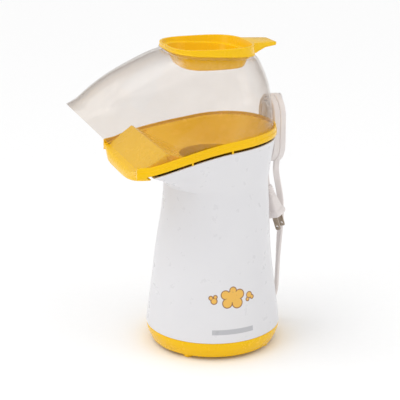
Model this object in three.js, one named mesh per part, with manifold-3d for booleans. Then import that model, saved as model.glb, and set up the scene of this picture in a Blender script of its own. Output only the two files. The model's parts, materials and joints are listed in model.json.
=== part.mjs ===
// Hot-air popcorn maker: white housing on a yellow base pan, yellow chute tray, clear chute cover
// and a yellow butter cup on top.  Millimetres, +Z up, mouth towards -Y, standing on z = 0.
// The chamber axis is the local z axis of the group "appliance".

import * as THREE from 'three';
import { mergeVertices } from 'three/addons/utils/BufferGeometryUtils.js';
import Module from 'manifold-3d';

const wasm = await Module();
wasm.setup();

// ---------------------------------------------------------------- driving dimensions
const AXIS_Y = 37.04;           // chamber axis, measured from the middle of the whole depth
const GAP = 0.3;              // clearance between pieces that touch
const WALL = 2.4;             // moulded wall

const PAN_TOP = 23;           // split line between base pan and housing
const PAN_BOTTOM = 4;         // underside of the pan, standing on its feet
const PAN_R_TOP = 78;
const PAN_R_BOTTOM = 71.7;
const FOOT_R = 6.5;
const FOOT_PITCH = 64;        // radius of the circle the feet stand on
const SCREW_PITCH = 64;       // radius of the circle of the base screws

const NECK_Z = 192;           // height at which the round column starts to flare
const NECK_R = 59.6;
const HOUSING_R = 78.3;       // column radius at the split line
const NECK_SHIFT = 3.5;       // the column leans back by this much at the neck

const RIM_W = 70;             // half width of the chute tray at the axis
const RIM_FLARE = 6;          // extra half width at the crease
const RIM_REAR = 70;          // tray reach behind the axis
const RIM_FRONT = 250;        // virtual nose of the plan outline, cut off at the mouth
const RIM_ORDER = 3.5;        // squareness of the plan outline
const BAND_H = 9.5;           // height of the tray's outer band
const BAND_GAP = 3.4;         // open gap between band and housing rim

const CREASE_Y = -76;         // ridge between dish and ramp
const CREASE_Z = 246;
const FOLD_Y = -104.5;        // end of the ramp
const FOLD_Z = 227;
const HOLE_R = 38;            // opening over the popping chamber
const HOLE_Z = 225;
const COLLAR_Z = 213;         // lower end of the tray's collar
const RIDGE_INSET = 7.4;      // the crease ends this far inside the band

const MOUTH_TIP = [-164, 289.6];      // y, z of the cover's peak at the mouth
const MOUTH_FOOT = [-105.5, 228];   // y, z of the cover's lower mouth corners
const COVER_WALL = 2;
const COVER_TOP = 343;
const COLLAR_H = 1.8;          // seat for the cup, standing on the crown
const COVER_TILT = 0.07;      // fall of the cover's crown towards the rear

const CUP_RIM_Z = 350;
const CUP_W = 50;             // half width of the cup's rim
const CUP_MID_Y = -7.9;
const CUP_L = 48.7;           // half length of the cup's rim
const CUP_ORDER = 3.1;        // squareness of the cup
const HANDLE_TIP = 70.3;      // y of the rear end of the cup's handle
const CUP_FLOOR = 325;
const CUP_NECK = 4.5;         // inset of the cup's neck, which fits the cover's opening

const CHAMBER_R = 38.2;
const CHAMBER_BOTTOM = 150;
const CHAMBER_TOP = 212.4;

const CORD_D = 5.6;           // round stand-in for a flat 7.5 x 3.9 twin lead
const HANK_X = -18;           // hank centre, outer size and depth
const HANK_R = 25;
const HANK_LOW = 203;
const HANK_HIGH = 283;
const HANK_Y0 = 71.6;
const HANK_Y1 = 86.8;
const HANK_THICK = 8.4;

const RING_STEPS = 48;        // points round each lofted ring
const RING_CENTRE_Y = -20;    // rays of the lofted rings start here

// ---------------------------------------------------------------- materials
const paint = (color, roughness, metalness = 0) =>
  new THREE.MeshStandardMaterial({ color, roughness, metalness });
const YELLOW = paint(0xfdc034, 0.35);
const WHITE = paint(0xe4e3e6, 0.3);
const CLEAR = paint(0xe6dfdb, 0.08);
CLEAR.transparent = true;
CLEAR.opacity = 0.35;
const ALUMINIUM = paint(0xb9bcc0, 0.35, 1);
const STEEL = paint(0x8d9094, 0.3, 1);
const BRASS = paint(0xa8845c, 0.35, 1);
const BLACK = paint(0x17171a, 0.6);
const MICA = paint(0xb8a888, 0.6);
const COPPER = paint(0xb87345, 0.4, 1);
const CORD = paint(0xe3d5d5, 0.5);
const GREEN = paint(0x2e6b3f, 0.5);

// ---------------------------------------------------------------- solids
function toSolid(geometry) {
  const bare = geometry.index ? geometry.toNonIndexed() : geometry.clone();
  for (const key of Object.keys(bare.attributes)) {
    if (key !== 'position') bare.deleteAttribute(key);
  }
  const merged = mergeVertices(bare, 1e-4);
  const vertProperties = new Float32Array(merged.attributes.position.array);
  const kept = [];
  const index = merged.index.array;
  for (let i = 0; i < index.length; i += 3) {
    const [a, b, c] = [index[i], index[i + 1], index[i + 2]];
    if (a !== b && b !== c && c !== a) kept.push(a, b, c);
  }
  const triVerts = new Uint32Array(kept);
  return new wasm.Manifold(new wasm.Mesh({ numProp: 3, vertProperties, triVerts }));
}

function toGeometry(solid) {
  const { vertProperties, triVerts, numProp } = solid.getMesh();
  const positions = new Float32Array(triVerts.length * 3);
  triVerts.forEach((v, i) => {
    for (let k = 0; k < 3; k++) positions[i * 3 + k] = vertProperties[v * numProp + k];
  });
  const geometry = new THREE.BufferGeometry();
  geometry.setAttribute('position', new THREE.BufferAttribute(positions, 3));
  geometry.computeVertexNormals();
  return geometry;
}

// Closed mesh through rings of points; the last ring joins the first when `looped`.
function loft(rings, looped) {
  const n = rings[0].length;
  const positions = [];
  const push = (...points) => points.forEach((p) => positions.push(...p));
  const last = looped ? rings.length : rings.length - 1;
  for (let i = 0; i < last; i++) {
    const a = rings[i];
    const b = rings[(i + 1) % rings.length];
    for (let j = 0; j < n; j++) {
      const k = (j + 1) % n;
      push(a[j], a[k], b[k]);
      push(a[j], b[k], b[j]);
    }
  }
  if (!looped) {
    capRing(rings[0], push, true);
    capRing(rings[rings.length - 1], push, false);
  }
  orientOutward(positions);
  const geometry = new THREE.BufferGeometry();
  geometry.setAttribute('position', new THREE.BufferAttribute(new Float32Array(positions), 3));
  return toSolid(geometry);
}

function capRing(ring, push, reversed) {
  const centre = [0, 1, 2].map((k) => ring.reduce((sum, p) => sum + p[k], 0) / ring.length);
  ring.forEach((p, j) => {
    const q = ring[(j + 1) % ring.length];
    if (reversed) push(q, p, centre);
    else push(p, q, centre);
  });
}

function orientOutward(positions) {
  let volume = 0;
  for (let i = 0; i < positions.length; i += 9) {
    const [ax, ay, az, bx, by, bz, cx, cy, cz] = positions.slice(i, i + 9);
    volume += ax * (by * cz - bz * cy) + ay * (bz * cx - bx * cz) + az * (bx * cy - by * cx);
  }
  if (volume > 0) return;
  for (let i = 0; i < positions.length; i += 9) {
    for (let k = 0; k < 3; k++) {
      const keep = positions[i + 3 + k];
      positions[i + 3 + k] = positions[i + 6 + k];
      positions[i + 6 + k] = keep;
    }
  }
}

function box(x0, x1, y0, y1, z0, z1) {
  const geometry = new THREE.BoxGeometry(x1 - x0, y1 - y0, z1 - z0);
  geometry.translate((x0 + x1) / 2, (y0 + y1) / 2, (z0 + z1) / 2);
  return toSolid(geometry);
}

function rod(r, z0, z1, sides = 20, x = 0, y = 0, r2 = r) {
  const geometry = new THREE.CylinderGeometry(r2, r, z1 - z0, sides);
  geometry.rotateX(Math.PI / 2);
  geometry.translate(x, y, (z0 + z1) / 2);
  return toSolid(geometry);
}

function rodAlongY(r, y0, y1, x, z, sides = 24) {
  const geometry = new THREE.CylinderGeometry(r, r, y1 - y0, sides);
  geometry.translate(x, (y0 + y1) / 2, z);
  return toSolid(geometry);
}

// Solid of revolution about z; the profile closes on itself or ends on the axis.
function turned(profile, sides) {
  const points = profile.map(([r, z]) => new THREE.Vector2(r, z));
  if (profile[0][0] > 0) points.push(points[0].clone());
  const geometry = new THREE.LatheGeometry(points, sides);
  geometry.rotateX(Math.PI / 2);
  const flat = geometry.toNonIndexed();
  const positions = Array.from(flat.attributes.position.array);
  orientOutward(positions);
  const turnedGeometry = new THREE.BufferGeometry();
  turnedGeometry.setAttribute('position', new THREE.BufferAttribute(new Float32Array(positions), 3));
  return toSolid(turnedGeometry);
}

function extruded(shape, depth, curveSegments = 12) {
  return new THREE.ExtrudeGeometry(shape, { depth, bevelEnabled: false, curveSegments });
}

// Shape drawn in the x-z plane, standing from y0 to y1.
function standing(shape, y0, y1, curveSegments = 12) {
  const geometry = extruded(shape, y1 - y0, curveSegments);
  geometry.rotateX(Math.PI / 2);
  geometry.translate(0, y1, 0);
  return toSolid(geometry);
}

// Shape drawn in the y-z plane, from x0 to x1.
function sideways(shape, x0, x1, curveSegments = 12) {
  const geometry = extruded(shape, x1 - x0, curveSegments);
  geometry.rotateZ(Math.PI / 2);
  geometry.rotateY(Math.PI / 2);
  geometry.translate(x0, 0, 0);
  return toSolid(geometry);
}

function tube(points, radius, sides, steps) {
  const path = new THREE.CatmullRomCurve3(points.map((p) => new THREE.Vector3(...p)));
  const section = new THREE.Shape();
  for (let i = 0; i < sides; i++) {
    const a = (2 * Math.PI * i) / sides;
    if (i === 0) section.moveTo(radius * Math.cos(a), radius * Math.sin(a));
    else section.lineTo(radius * Math.cos(a), radius * Math.sin(a));
  }
  return toSolid(new THREE.ExtrudeGeometry(section, { steps, extrudePath: path, bevelEnabled: false }));
}

const joined = (solids) => solids.reduce((sum, solid) => sum.add(solid));
const polar = (r, degrees) => {
  const a = THREE.MathUtils.degToRad(degrees);
  return [r * Math.cos(a), r * Math.sin(a)];
};
const smooth = THREE.MathUtils.smoothstep;
const lerp = THREE.MathUtils.lerp;

// ---------------------------------------------------------------- shared outlines
const bandLow = (y) => 243.3 + 0.125 * y - 0.00078 * y * y;      // arc along the tray's lower edge
const bandTop = (y) => bandLow(y) + BAND_H;
const flare = (y) => 1 + (RIM_FLARE / RIM_W) * smooth(-y, 0, -CREASE_Y) * (1 - smooth(-y, 80, 112));

const rimHalfWidth = (y) =>
  RIM_W * flare(y) * (1 - Math.abs(y / RIM_FRONT) ** RIM_ORDER) ** (1 / RIM_ORDER);

// Directions of the rays; those nearest the dish corners pass exactly through them.
const HOUSING_RIM_STOP = -92;     // front end of the housing's rim
const rays = Array.from({ length: RING_STEPS }, (_, i) => (2 * Math.PI * i) / RING_STEPS);
const rayCorners = [
  [rimHalfWidth(CREASE_Y) - RIDGE_INSET - 2.4, CREASE_Y],
  [rimHalfWidth(HOUSING_RIM_STOP) - 1, HOUSING_RIM_STOP],
];
for (const side of [1, -1]) {
  for (const [x, y] of rayCorners) {
    const corner = (Math.atan2(y - RING_CENTRE_Y, side * x) + 2 * Math.PI) % (2 * Math.PI);
    rays[Math.round((corner / (2 * Math.PI)) * RING_STEPS) % RING_STEPS] = corner;
  }
}

// Outline in plan: a squarish oval that flares towards the mouth, cut straight at `stop`.
function outline({ w, rear, front, order, flared = 1, stop = -1e4 }) {
  return rays.map((angle) => {
    const dx = Math.cos(angle);
    const dy = Math.sin(angle);
    let low = 0;
    let high = 400;
    for (let i = 0; i < 40; i++) {
      const r = (low + high) / 2;
      const x = r * dx;
      const y = RING_CENTRE_Y + r * dy;
      const wide = Math.abs(x) / (w * lerp(1, flare(y), flared));
      const long = Math.abs(y) / (y > 0 ? rear : front);
      const rearOrder = y > 0 ? 2.15 : order;
      if (wide ** rearOrder + long ** rearOrder > 1 || y < stop) high = r;
      else low = r;
    }
    return [low * dx, RING_CENTRE_Y + low * dy];
  });
}

const rimOutline = (inset, stop) =>
  outline({
    w: RIM_W - inset,
    rear: RIM_REAR - inset,
    front: RIM_FRONT,
    order: RIM_ORDER,
    stop,
  });

const lifted = (flat, height) => flat.map(([x, y]) => [x, y, height(y, x)]);

// Points on a circle about the chamber axis, in the same directions as the points of `flat`.
const circleTowards = (flat, r, z, shift = 0) =>
  flat.map(([x, y]) => {
    const a = Math.atan2(y - shift, x);
    return [r * Math.cos(a), shift + r * Math.sin(a), z];
  });

const blend = (a, b, k, kz = k) =>
  a.map((p, i) => [lerp(p[0], b[i][0], k), lerp(p[1], b[i][1], k), lerp(p[2], b[i][2], kz)]);

// ---------------------------------------------------------------- base
const columnR = (z) => NECK_R + (HOUSING_R - NECK_R) * ((NECK_Z - z) / (NECK_Z - PAN_TOP)) ** 1.25;
const columnShift = (z) => NECK_SHIFT * smooth(z, 100, 180);
const panR = (z) => {
  const k = (z - PAN_BOTTOM) / (PAN_TOP - PAN_BOTTOM);
  return PAN_R_BOTTOM + (PAN_R_TOP - PAN_R_BOTTOM) * Math.sin((k * Math.PI) / 2);
};
const RELIEF_X = -24;
const RELIEF_TILT = THREE.MathUtils.degToRad(37);
const RELIEF_FROM = [63.6, 11];        // y, z of the strain relief's inner end
const RELIEF_LENGTH = 24;
const footAngles = [45, 135, 225, 315];
const baseScrewAngles = [60, 180, 300];

function reliefChannel(grow, y0, y1) {
  const geometry = new THREE.BoxGeometry(10.4 + grow, y1 - y0, 6 + grow);
  geometry.translate(0, (y0 + y1) / 2, 0);
  geometry.rotateX(RELIEF_TILT);
  geometry.translate(RELIEF_X, RELIEF_FROM[0], RELIEF_FROM[1]);
  return toSolid(geometry);
}

function basePan() {
  const wall = [4.4, 6, 9, 13, 18, PAN_TOP].map((z) => [panR(z), z]);
  const inner = [18, 13, 9, 6.5].map((z) => [panR(z) - WALL, z]);
  const spigotR = columnR(PAN_TOP + 2) - WALL - GAP;
  let pan = turned(
    [
      [0, PAN_BOTTOM],
      [PAN_R_BOTTOM - 1.6, PAN_BOTTOM],
      ...wall,
      [spigotR, PAN_TOP],
      [spigotR - 0.4, PAN_TOP + 4],
      [spigotR - 2, PAN_TOP + 4],
      [spigotR - 2.2, PAN_TOP - 2],
      ...inner,
      [0, 6.5],
    ],
    40,
  );
  for (const angle of footAngles) {
    const [x, y] = polar(FOOT_PITCH, angle);
    pan = pan.add(rod(FOOT_R - 1, 0, PAN_BOTTOM + 0.5, 14, x, y, FOOT_R));
  }
  for (const angle of baseScrewAngles) {
    const [x, y] = polar(SCREW_PITCH, angle);
    pan = pan.add(rod(6, PAN_BOTTOM + 0.5, 19, 12, x, y));
    pan = pan.subtract(rod(4.1, PAN_BOTTOM - 1, 15, 12, x, y));
    pan = pan.subtract(rod(2.2, 14, 20, 10, x, y));
  }
  const slots = [];
  for (let i = 0; i < 10; i++) {
    for (const [r0, r1] of [[14, 27], [32, 46]]) {
      const slot = new THREE.BoxGeometry(r1 - r0, r0 < 20 ? 3 : 4.5, 6);
      slot.translate((r0 + r1) / 2, 0, 5);
      slot.rotateZ((2 * Math.PI * (i + 0.5)) / 10);
      slots.push(toSolid(slot));
    }
  }
  pan = pan.subtract(joined(slots));
  return pan.subtract(reliefChannel(2 * GAP, -4, RELIEF_LENGTH + 10)).subtract(reliefChannel(2, -6, 1));
}

function baseScrew(angle) {
  const [x, y] = polar(SCREW_PITCH, angle);
  return rod(3.6, 11.6, 14.7, 12, x, y).add(rod(1.8, 14.6, 34, 8, x, y));
}

// ---------------------------------------------------------------- housing
function housingRings(inset) {
  const rim = rimOutline(1 + inset, HOUSING_RIM_STOP + inset);
  const rings = [];
  for (const z of [PAN_TOP + GAP, 60, 100, 145, NECK_Z]) {
    rings.push(circleTowards(rim, columnR(z) - inset, z, columnShift(z)));
  }
  const neck = rings[rings.length - 1];
  const top = lifted(rim, (y) => bandLow(y) - BAND_GAP);
  for (const k of [0.35, 0.75]) rings.push(blend(neck, top, k ** 1.15, k));
  rings.push(top);
  return rings;
}

const postAngles = [30, 150, 270];
const POST_R = 60.3;

function housing() {
  const outer = housingRings(0);
  const inner = housingRings(WALL);
  let shell = loft([...outer, ...inner.reverse()], true);
  const envelope = loft(housingRings(WALL * 0.5), false);
  for (const angle of baseScrewAngles) {
    const [x, y] = polar(SCREW_PITCH, angle);
    const rib = new THREE.BoxGeometry(16, 3, 38);
    rib.translate(SCREW_PITCH + 9, 0, 41);
    rib.rotateZ(THREE.MathUtils.degToRad(angle));
    const post = rod(4.6, 19.5, 60, 18, x, y).add(toSolid(rib).subtract(rod(200, 0, PAN_TOP + 5, 8)));
    shell = shell.add(post.intersect(envelope.add(rod(4.6, 19.5, 30, 18, x, y))));
    shell = shell.subtract(rod(2.15, 15, 40, 12, x, y));
  }
  for (const angle of postAngles) {
    const [x, y] = polar(POST_R, angle);
    const rib = new THREE.BoxGeometry(14, 3, 28);
    rib.translate(POST_R + 6, 0, 120);
    rib.rotateZ(THREE.MathUtils.degToRad(angle));
    shell = shell.add(rod(4.4, 104, 132, 16, x, y).add(toSolid(rib)).intersect(envelope));
    shell = shell.subtract(rod(1.9, 100, 126, 12, x, y));
  }
  for (let i = 0; i < 3; i++) {
    const lug = new THREE.BoxGeometry(9, 8, 5);
    lug.translate(55.5, NECK_SHIFT, 191.2);
    lug.rotateZ((2 * Math.PI * (i + 0.25)) / 3);
    shell = shell.add(toSolid(lug).intersect(envelope));
  }
  for (const z of WRAP_SCREW_Z) shell = shell.subtract(rodAlongY(1.9, 50, 80, HANK_X, z, 12));
  return shell.subtract(reliefChannel(2 * GAP, 4, RELIEF_LENGTH));
}

// ---------------------------------------------------------------- cord wrap at the rear
const WRAP_SCREW_Z = [221, 231];
const SPINE_Y0 = 69.2;
const SPINE_Y1 = HANK_Y0 - GAP;
const PADDLE_Y0 = HANK_Y1 + GAP;
const HOOK_R = HANK_R - HANK_THICK - GAP;

function hook(up) {
  const centreZ = up ? HANK_HIGH - HANK_R : HANK_LOW + HANK_R;
  const sign = up ? 1 : -1;
  const arc = new THREE.Shape();
  const half = THREE.MathUtils.degToRad(52);
  const middle = (sign * Math.PI) / 2;
  arc.absarc(HANK_X, centreZ, HOOK_R, middle - half, middle + half, false);
  arc.absarc(HANK_X, centreZ, HOOK_R - 2.6, middle + half, middle - half, true);
  const saddle = standing(arc, SPINE_Y0, PADDLE_Y0 + 1);
  const tip = new THREE.Shape();
  const root = centreZ + sign * (HOOK_R - 4.5);
  const end = centreZ + sign * (HANK_R - 7);
  tip.moveTo(HANK_X - 9, root);
  tip.lineTo(HANK_X + 9, root);
  tip.lineTo(HANK_X + 7, end);
  tip.absarc(HANK_X, end, 7, 0, sign * Math.PI, !up);
  const paddle = standing(tip, PADDLE_Y0, PADDLE_Y0 + 2.2);
  const web = box(HANK_X - 1.2, HANK_X + 1.2, SPINE_Y0, PADDLE_Y0 + 1,
    Math.min(root, centreZ + sign * (HOOK_R - 1)), Math.max(root, centreZ + sign * (HOOK_R - 1)));
  return joined([saddle, paddle, web]);
}

function cordWrap() {
  const spine = box(HANK_X - 6, HANK_X + 6, SPINE_Y0, SPINE_Y1, 206, HANK_HIGH - HANK_R + HOOK_R - 1);
  const clear = loft(housingRings(-GAP), false);
  const foot = box(HANK_X - 8, HANK_X + 8, 58, SPINE_Y1, 206, 236).subtract(clear);
  let wrap = joined([spine, foot, hook(true), hook(false)]);
  wrap = wrap.subtract(loft([
    lifted(rimOutline(-0.7), (y) => bandLow(y) - 2.6),
    lifted(rimOutline(-0.7), () => 320),
  ], false));
  for (const z of WRAP_SCREW_Z) wrap = wrap.subtract(rodAlongY(1.9, 50, 80, HANK_X, z, 12));
  return wrap;
}

function wrapScrew(z) {
  return rodAlongY(1.5, 58, SPINE_Y1 + 1, HANK_X, z, 8)
    .add(rodAlongY(3.1, SPINE_Y1 + GAP, SPINE_Y1 + 2.2, HANK_X, z, 12));
}

// ---------------------------------------------------------------- chute tray
function trayDish() {
  // Across the front the dish stays below the channel, so that the cover's foot can pass.
  const at = (inset, height) => {
    const front = CREASE_Y + inset - RIDGE_INSET;
    return lifted(rimOutline(inset, front), (y) =>
      (y < front + 0.05 && inset < RIDGE_INSET ? Math.min(height(y), bandTop(y) - 3.2) : height(y)));
  };
  const onRidge = (y) => y < CREASE_Y + 0.05;
  const ledge = at(RIDGE_INSET, (y) => (onRidge(y) ? CREASE_Z : bandTop(y) - 3.4));
  const under = at(RIDGE_INSET - 1, (y) => bandTop(y) - 6.2);
  const hole = (r, z) => circleTowards(ledge, r, z);
  const funnel = [0.3, 0.65].map((k) => blend(hole(HOLE_R + 1.4, HOLE_Z), ledge, k, k ** 1.12));
  const back = [0.65, 0.3].map((k) => blend(hole(HOLE_R + 2.4, HOLE_Z - 2.6), under, k, k ** 1.12));
  return loft([
    hole(HOLE_R, COLLAR_Z),
    hole(HOLE_R, HOLE_Z - 1.4),
    hole(HOLE_R + 1.4, HOLE_Z),
    ...funnel,
    ledge,
    at(5, (y) => bandTop(y) - 2.9),
    at(2, (y) => bandTop(y) - 2.9),
    at(1.9, bandTop),
    at(0.4, bandTop),
    at(0, (y) => bandTop(y) - 0.5),
    at(0, (y) => bandTop(y) - 4),
    at(-0.6, (y) => bandTop(y) - 4.4),
    at(-0.6, (y) => bandLow(y) + 0.5),
    at(0, bandLow),
    at(1.6, bandLow),
    at(2, (y) => bandLow(y) + 2.5),
    under,
    ...back,
    hole(HOLE_R + 2.2, HOLE_Z - 4.5),
    hole(HOLE_R + 2.2, COLLAR_Z),
  ], true);
}

// Band that carries the tray's sides forward from the crease to the nose.
function trayCheek(side) {
  const sections = [];
  for (const y of [-58, -67, CREASE_Y + 0.2, CREASE_Y - 0.2, -84, -92, -100, FOLD_Y - 5]) {
    const w = rimHalfWidth(y);
    const top = bandTop(y) + 2.5 * smooth(-y, 94, 109);
    const seat = bandTop(y) - 2.9;
    const low = bandLow(y);
    const ramp = y > CREASE_Y ? seat - 0.2 : rampZ(y) - 1;
    const rampLow = Math.min(ramp - 1.2, low + 2.5);
    sections.push([
      [w - 9.2, ramp], [w - 7, ramp], [w - 6.8, Math.min(seat, ramp - 0.2)], [w - 2, seat],
      [w - 1.9, top], [w - 0.4, top], [w, top - 0.5], [w, top - 4], [w + 0.6, top - 4.4],
      [w + 0.6, low + 0.5], [w, low], [w - 1.6, low], [w - 2.2, low + 2], [w - 5, low + 2.4],
      [w - 9.2, rampLow],
    ].map(([x, z]) => [side * x, y, z]));
  }
  return loft(sections, false);
}

const rampZ = (y) => lerp(CREASE_Z, FOLD_Z, (CREASE_Y - y) / (CREASE_Y - FOLD_Y));

// Ramp plate, then the rounded nose that hangs down in front of the housing.
function trayRamp() {
  const across = 13;
  const plate = 2.2;
  // Rows: y, z, then how the ends differ: stretch, extra half width, set-back and rise.
  const path = [
    [CREASE_Y + 2.5, CREASE_Z - 1], [CREASE_Y, CREASE_Z], [-90, rampZ(-90)], [FOLD_Y, FOLD_Z],
    [-109.5, 225, 1.03, 2, 8.5, 2.5], [-112.5, 221, 1.05, 3.4, 14.5, 4.2], [-113.5, 217.5, 1.05, 4, 17, 5],
    [-112.5, 214, 1.04, 4, 17, 5],
  ];
  const inner = [
    [-110.3, 214.4, 1.01, 4, 17, 5], [-111.1, 217.5, 1.02, 4, 17, 5], [-110.2, 219.8, 1.01, 3.4, 14.5, 4.2],
    [-107.6, 222.2, 1, 2, 8.5, 2.5], [FOLD_Y + 0.6, FOLD_Z - plate - 0.3], [-90, rampZ(-90) - plate - 0.4],
    [CREASE_Y + 1, CREASE_Z - plate - 0.5], [CREASE_Y + 3, CREASE_Z - plate - 1.4],
  ];
  const halfWidth = (y) => rimHalfWidth(Math.max(y, FOLD_Y)) - 7.6;
  const section = ([y, z, stretch = 1, wider = 0, back = 0, rise = 0]) => {
    const points = [];
    for (let i = 0; i < across; i++) {
      const u = -1 + (2 * i) / (across - 1);
      const end = Math.abs(u);
      points.push([u * (halfWidth(y) * stretch + wider), y + back * end ** 5, z + rise * end ** 4]);
    }
    return points;
  };
  const rows = [...path, ...inner].map(section);
  const columns = rows[0].map((_, i) => rows.map((row) => row[i]));
  return loft(columns, false);
}

function trayTabs() {
  const tabs = [];
  for (const y of [-49, -2]) {
    for (const side of [1, -1]) {
      const w = side * (rimHalfWidth(y) - 1.2);
      tabs.push(box(w - 0.9, w + 0.9, y - 1, y + 1, bandLow(y) - BAND_GAP + GAP, bandLow(y) + 2));
    }
  }
  return joined(tabs);
}

const chuteTray = () => joined([trayDish(), trayCheek(1), trayCheek(-1), trayRamp(), trayTabs()]);

// ---------------------------------------------------------------- clear cover
// Rows: height, half width, reach behind, reach in front (virtual below the mouth), squareness.
function coverRings(inset) {
  const tilt = (z) => COVER_TILT * smooth(z, 290, COVER_TOP - 2);
  const rows = [
    [272, 67, 65.4, 184.5, 2.35],
    [295, 65.6, 62, 155.5, 2.15],
    [308, 64, 59.6, 137.5, 2.05],
    [320, 61.4, 56.4, 116.5, 2],
    [331, 57.4, 52.6, 93, 2.1],
    [339, 52.4, 49, 73.5, 2.4],
    [COVER_TOP, 46.5, 45.4, 60, 2.8],
  ];
  const foot = outline({
    w: RIM_W - 2.8 - inset, rear: RIM_REAR - 2.6 - inset, front: RIM_FRONT, order: RIM_ORDER,
  });
  const rings = [lifted(foot, (y) => bandTop(y) - 2.3)];
  for (const [z, w, rear, front, order] of rows) {
    const flared = 1 - smooth(z, 245, 320);
    const flat = outline({ w: w - inset, rear: rear - inset, front: front - inset, order, flared });
    const drop = inset * smooth(z, 300, COVER_TOP);
    rings.push(lifted(flat, (y) => z - drop - tilt(z) * (y + 60)));
  }
  return rings;
}

const crown = (y) => COVER_TOP - COVER_TILT * (y + 60);

function cupOpening(inset, z0, z1) {
  const ring = (z) => cupOutline(CUP_W - inset, CUP_L - inset, z);
  return loft([ring(z0), ring(z1)], false);
}

function cupOutline(w, l, height, shift = 0) {
  return Array.from({ length: 36 }, (_, i) => {
    const a = (2 * Math.PI * i) / 36;
    const c = Math.cos(a);
    const s = Math.sin(a);
    const r = (Math.abs(c / w) ** CUP_ORDER + Math.abs(s / l) ** CUP_ORDER) ** (-1 / CUP_ORDER);
    const y = CUP_MID_Y + shift + r * s;
    return [r * c, y, typeof height === 'number' ? height : height(y)];
  });
}

function clearCover() {
  const outer = coverRings(0);
  const inner = coverRings(COVER_WALL);
  // The inner face runs on below the foot, so that the cut leaves no skin there.
  inner[0] = blend(inner[0], inner[1], -0.2);
  let cover = loft(outer, false).subtract(loft(inner, false));
  const collar = loft([
    cupOutline(CUP_W + 0.4, CUP_L + 1.4, (y) => crown(y) - 3),
    cupOutline(CUP_W, CUP_L + 1, (y) => crown(y) + COLLAR_H),
    cupOutline(CUP_W - CUP_NECK + 1, CUP_L - CUP_NECK + 1, (y) => crown(y) + COLLAR_H),
    cupOutline(CUP_W - CUP_NECK + 1, CUP_L - CUP_NECK + 1, (y) => crown(y) - 3),
  ], true);
  cover = cover.add(collar).subtract(cupOpening(CUP_NECK - 0.8, 300, 360));
  const slope = Math.atan2(MOUTH_TIP[1] - MOUTH_FOOT[1], MOUTH_TIP[0] - MOUTH_FOOT[0]);
  const knife = new THREE.BoxGeometry(400, 400, 400);
  knife.translate(0, 0, 200);
  knife.rotateX(slope);
  knife.translate(0, MOUTH_FOOT[0], MOUTH_FOOT[1]);
  return cover.subtract(toSolid(knife));
}

// ---------------------------------------------------------------- butter cup
function butterCup() {
  const seat = (y) => crown(y) + COLLAR_H + GAP;
  const ring = (inset, height, shift = 0) => cupOutline(CUP_W - inset, CUP_L - inset, height, shift);
  const skirt = loft([
    ring(0, seat),
    ring(-0.2, (y) => seat(y) + 1.2),
    ring(0.1, CUP_RIM_Z - 1),
    ring(0.9, CUP_RIM_Z),
    ring(2.2, CUP_RIM_Z),
    ring(3, CUP_RIM_Z - 0.8),
    ring(4.4, (y) => seat(y) + 2.4),
    ring(8.4, (y) => seat(y) + 2),
    ring(9.8, (y) => seat(y) - 4.6, 0.4),
    ring(14, CUP_FLOOR + 3, 2.6),
    ring(16, CUP_FLOOR + 2, 3),
    ring(24, CUP_FLOOR + 2, 3),
    ring(24, CUP_FLOOR, 3),
    ring(14.4, CUP_FLOOR, 3),
    ring(12, CUP_FLOOR + 2, 2.6),
    ring(7.4, (y) => seat(y) - 4.2, 0.4),
    ring(CUP_NECK, (y) => seat(y) - 3.4),
    ring(CUP_NECK, seat),
  ], true);
  const floor = loft([ring(22, CUP_FLOOR, 3), ring(22, CUP_FLOOR + 2, 3)], false);
  const root = CUP_MID_Y + CUP_L;
  const side = new THREE.Shape();
  side.moveTo(root - 3, CUP_RIM_Z - 0.4);
  side.lineTo(HANDLE_TIP - 3, CUP_RIM_Z - 1.2);
  side.quadraticCurveTo(HANDLE_TIP - 0.5, CUP_RIM_Z - 1.4, HANDLE_TIP - 1, CUP_RIM_Z - 3.4);
  side.quadraticCurveTo(HANDLE_TIP - 1.5, CUP_RIM_Z - 5, HANDLE_TIP - 5, CUP_RIM_Z - 5);
  side.quadraticCurveTo(root + 6, CUP_RIM_Z - 5.2, root + 2.5, CUP_RIM_Z - 11.2);
  side.lineTo(root - 0.4, CUP_RIM_Z - 11.6);
  side.lineTo(root - 3, CUP_RIM_Z - 4);
  const tongue = new THREE.Shape();
  tongue.moveTo(-22, root - 6);
  tongue.lineTo(22, root - 6);
  tongue.quadraticCurveTo(19, root + 8, 17, HANDLE_TIP - 7);
  tongue.quadraticCurveTo(16, HANDLE_TIP, 9, HANDLE_TIP);
  tongue.lineTo(-9, HANDLE_TIP);
  tongue.quadraticCurveTo(-16, HANDLE_TIP, -17, HANDLE_TIP - 7);
  tongue.quadraticCurveTo(-19, root + 8, -22, root - 6);
  const block = extruded(tongue, 40);
  block.translate(0, 0, 320);
  const handle = sideways(side, -24, 24).intersect(toSolid(block));
  const well = loft([ring(2.3, CUP_RIM_Z - 3), ring(2.3, CUP_RIM_Z + 9)], false);
  const cavity = loft([ring(3.2, 300), ring(3.2, CUP_RIM_Z + 9)], false);
  return joined([skirt, floor, handle.subtract(well).subtract(cavity)]);
}

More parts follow.
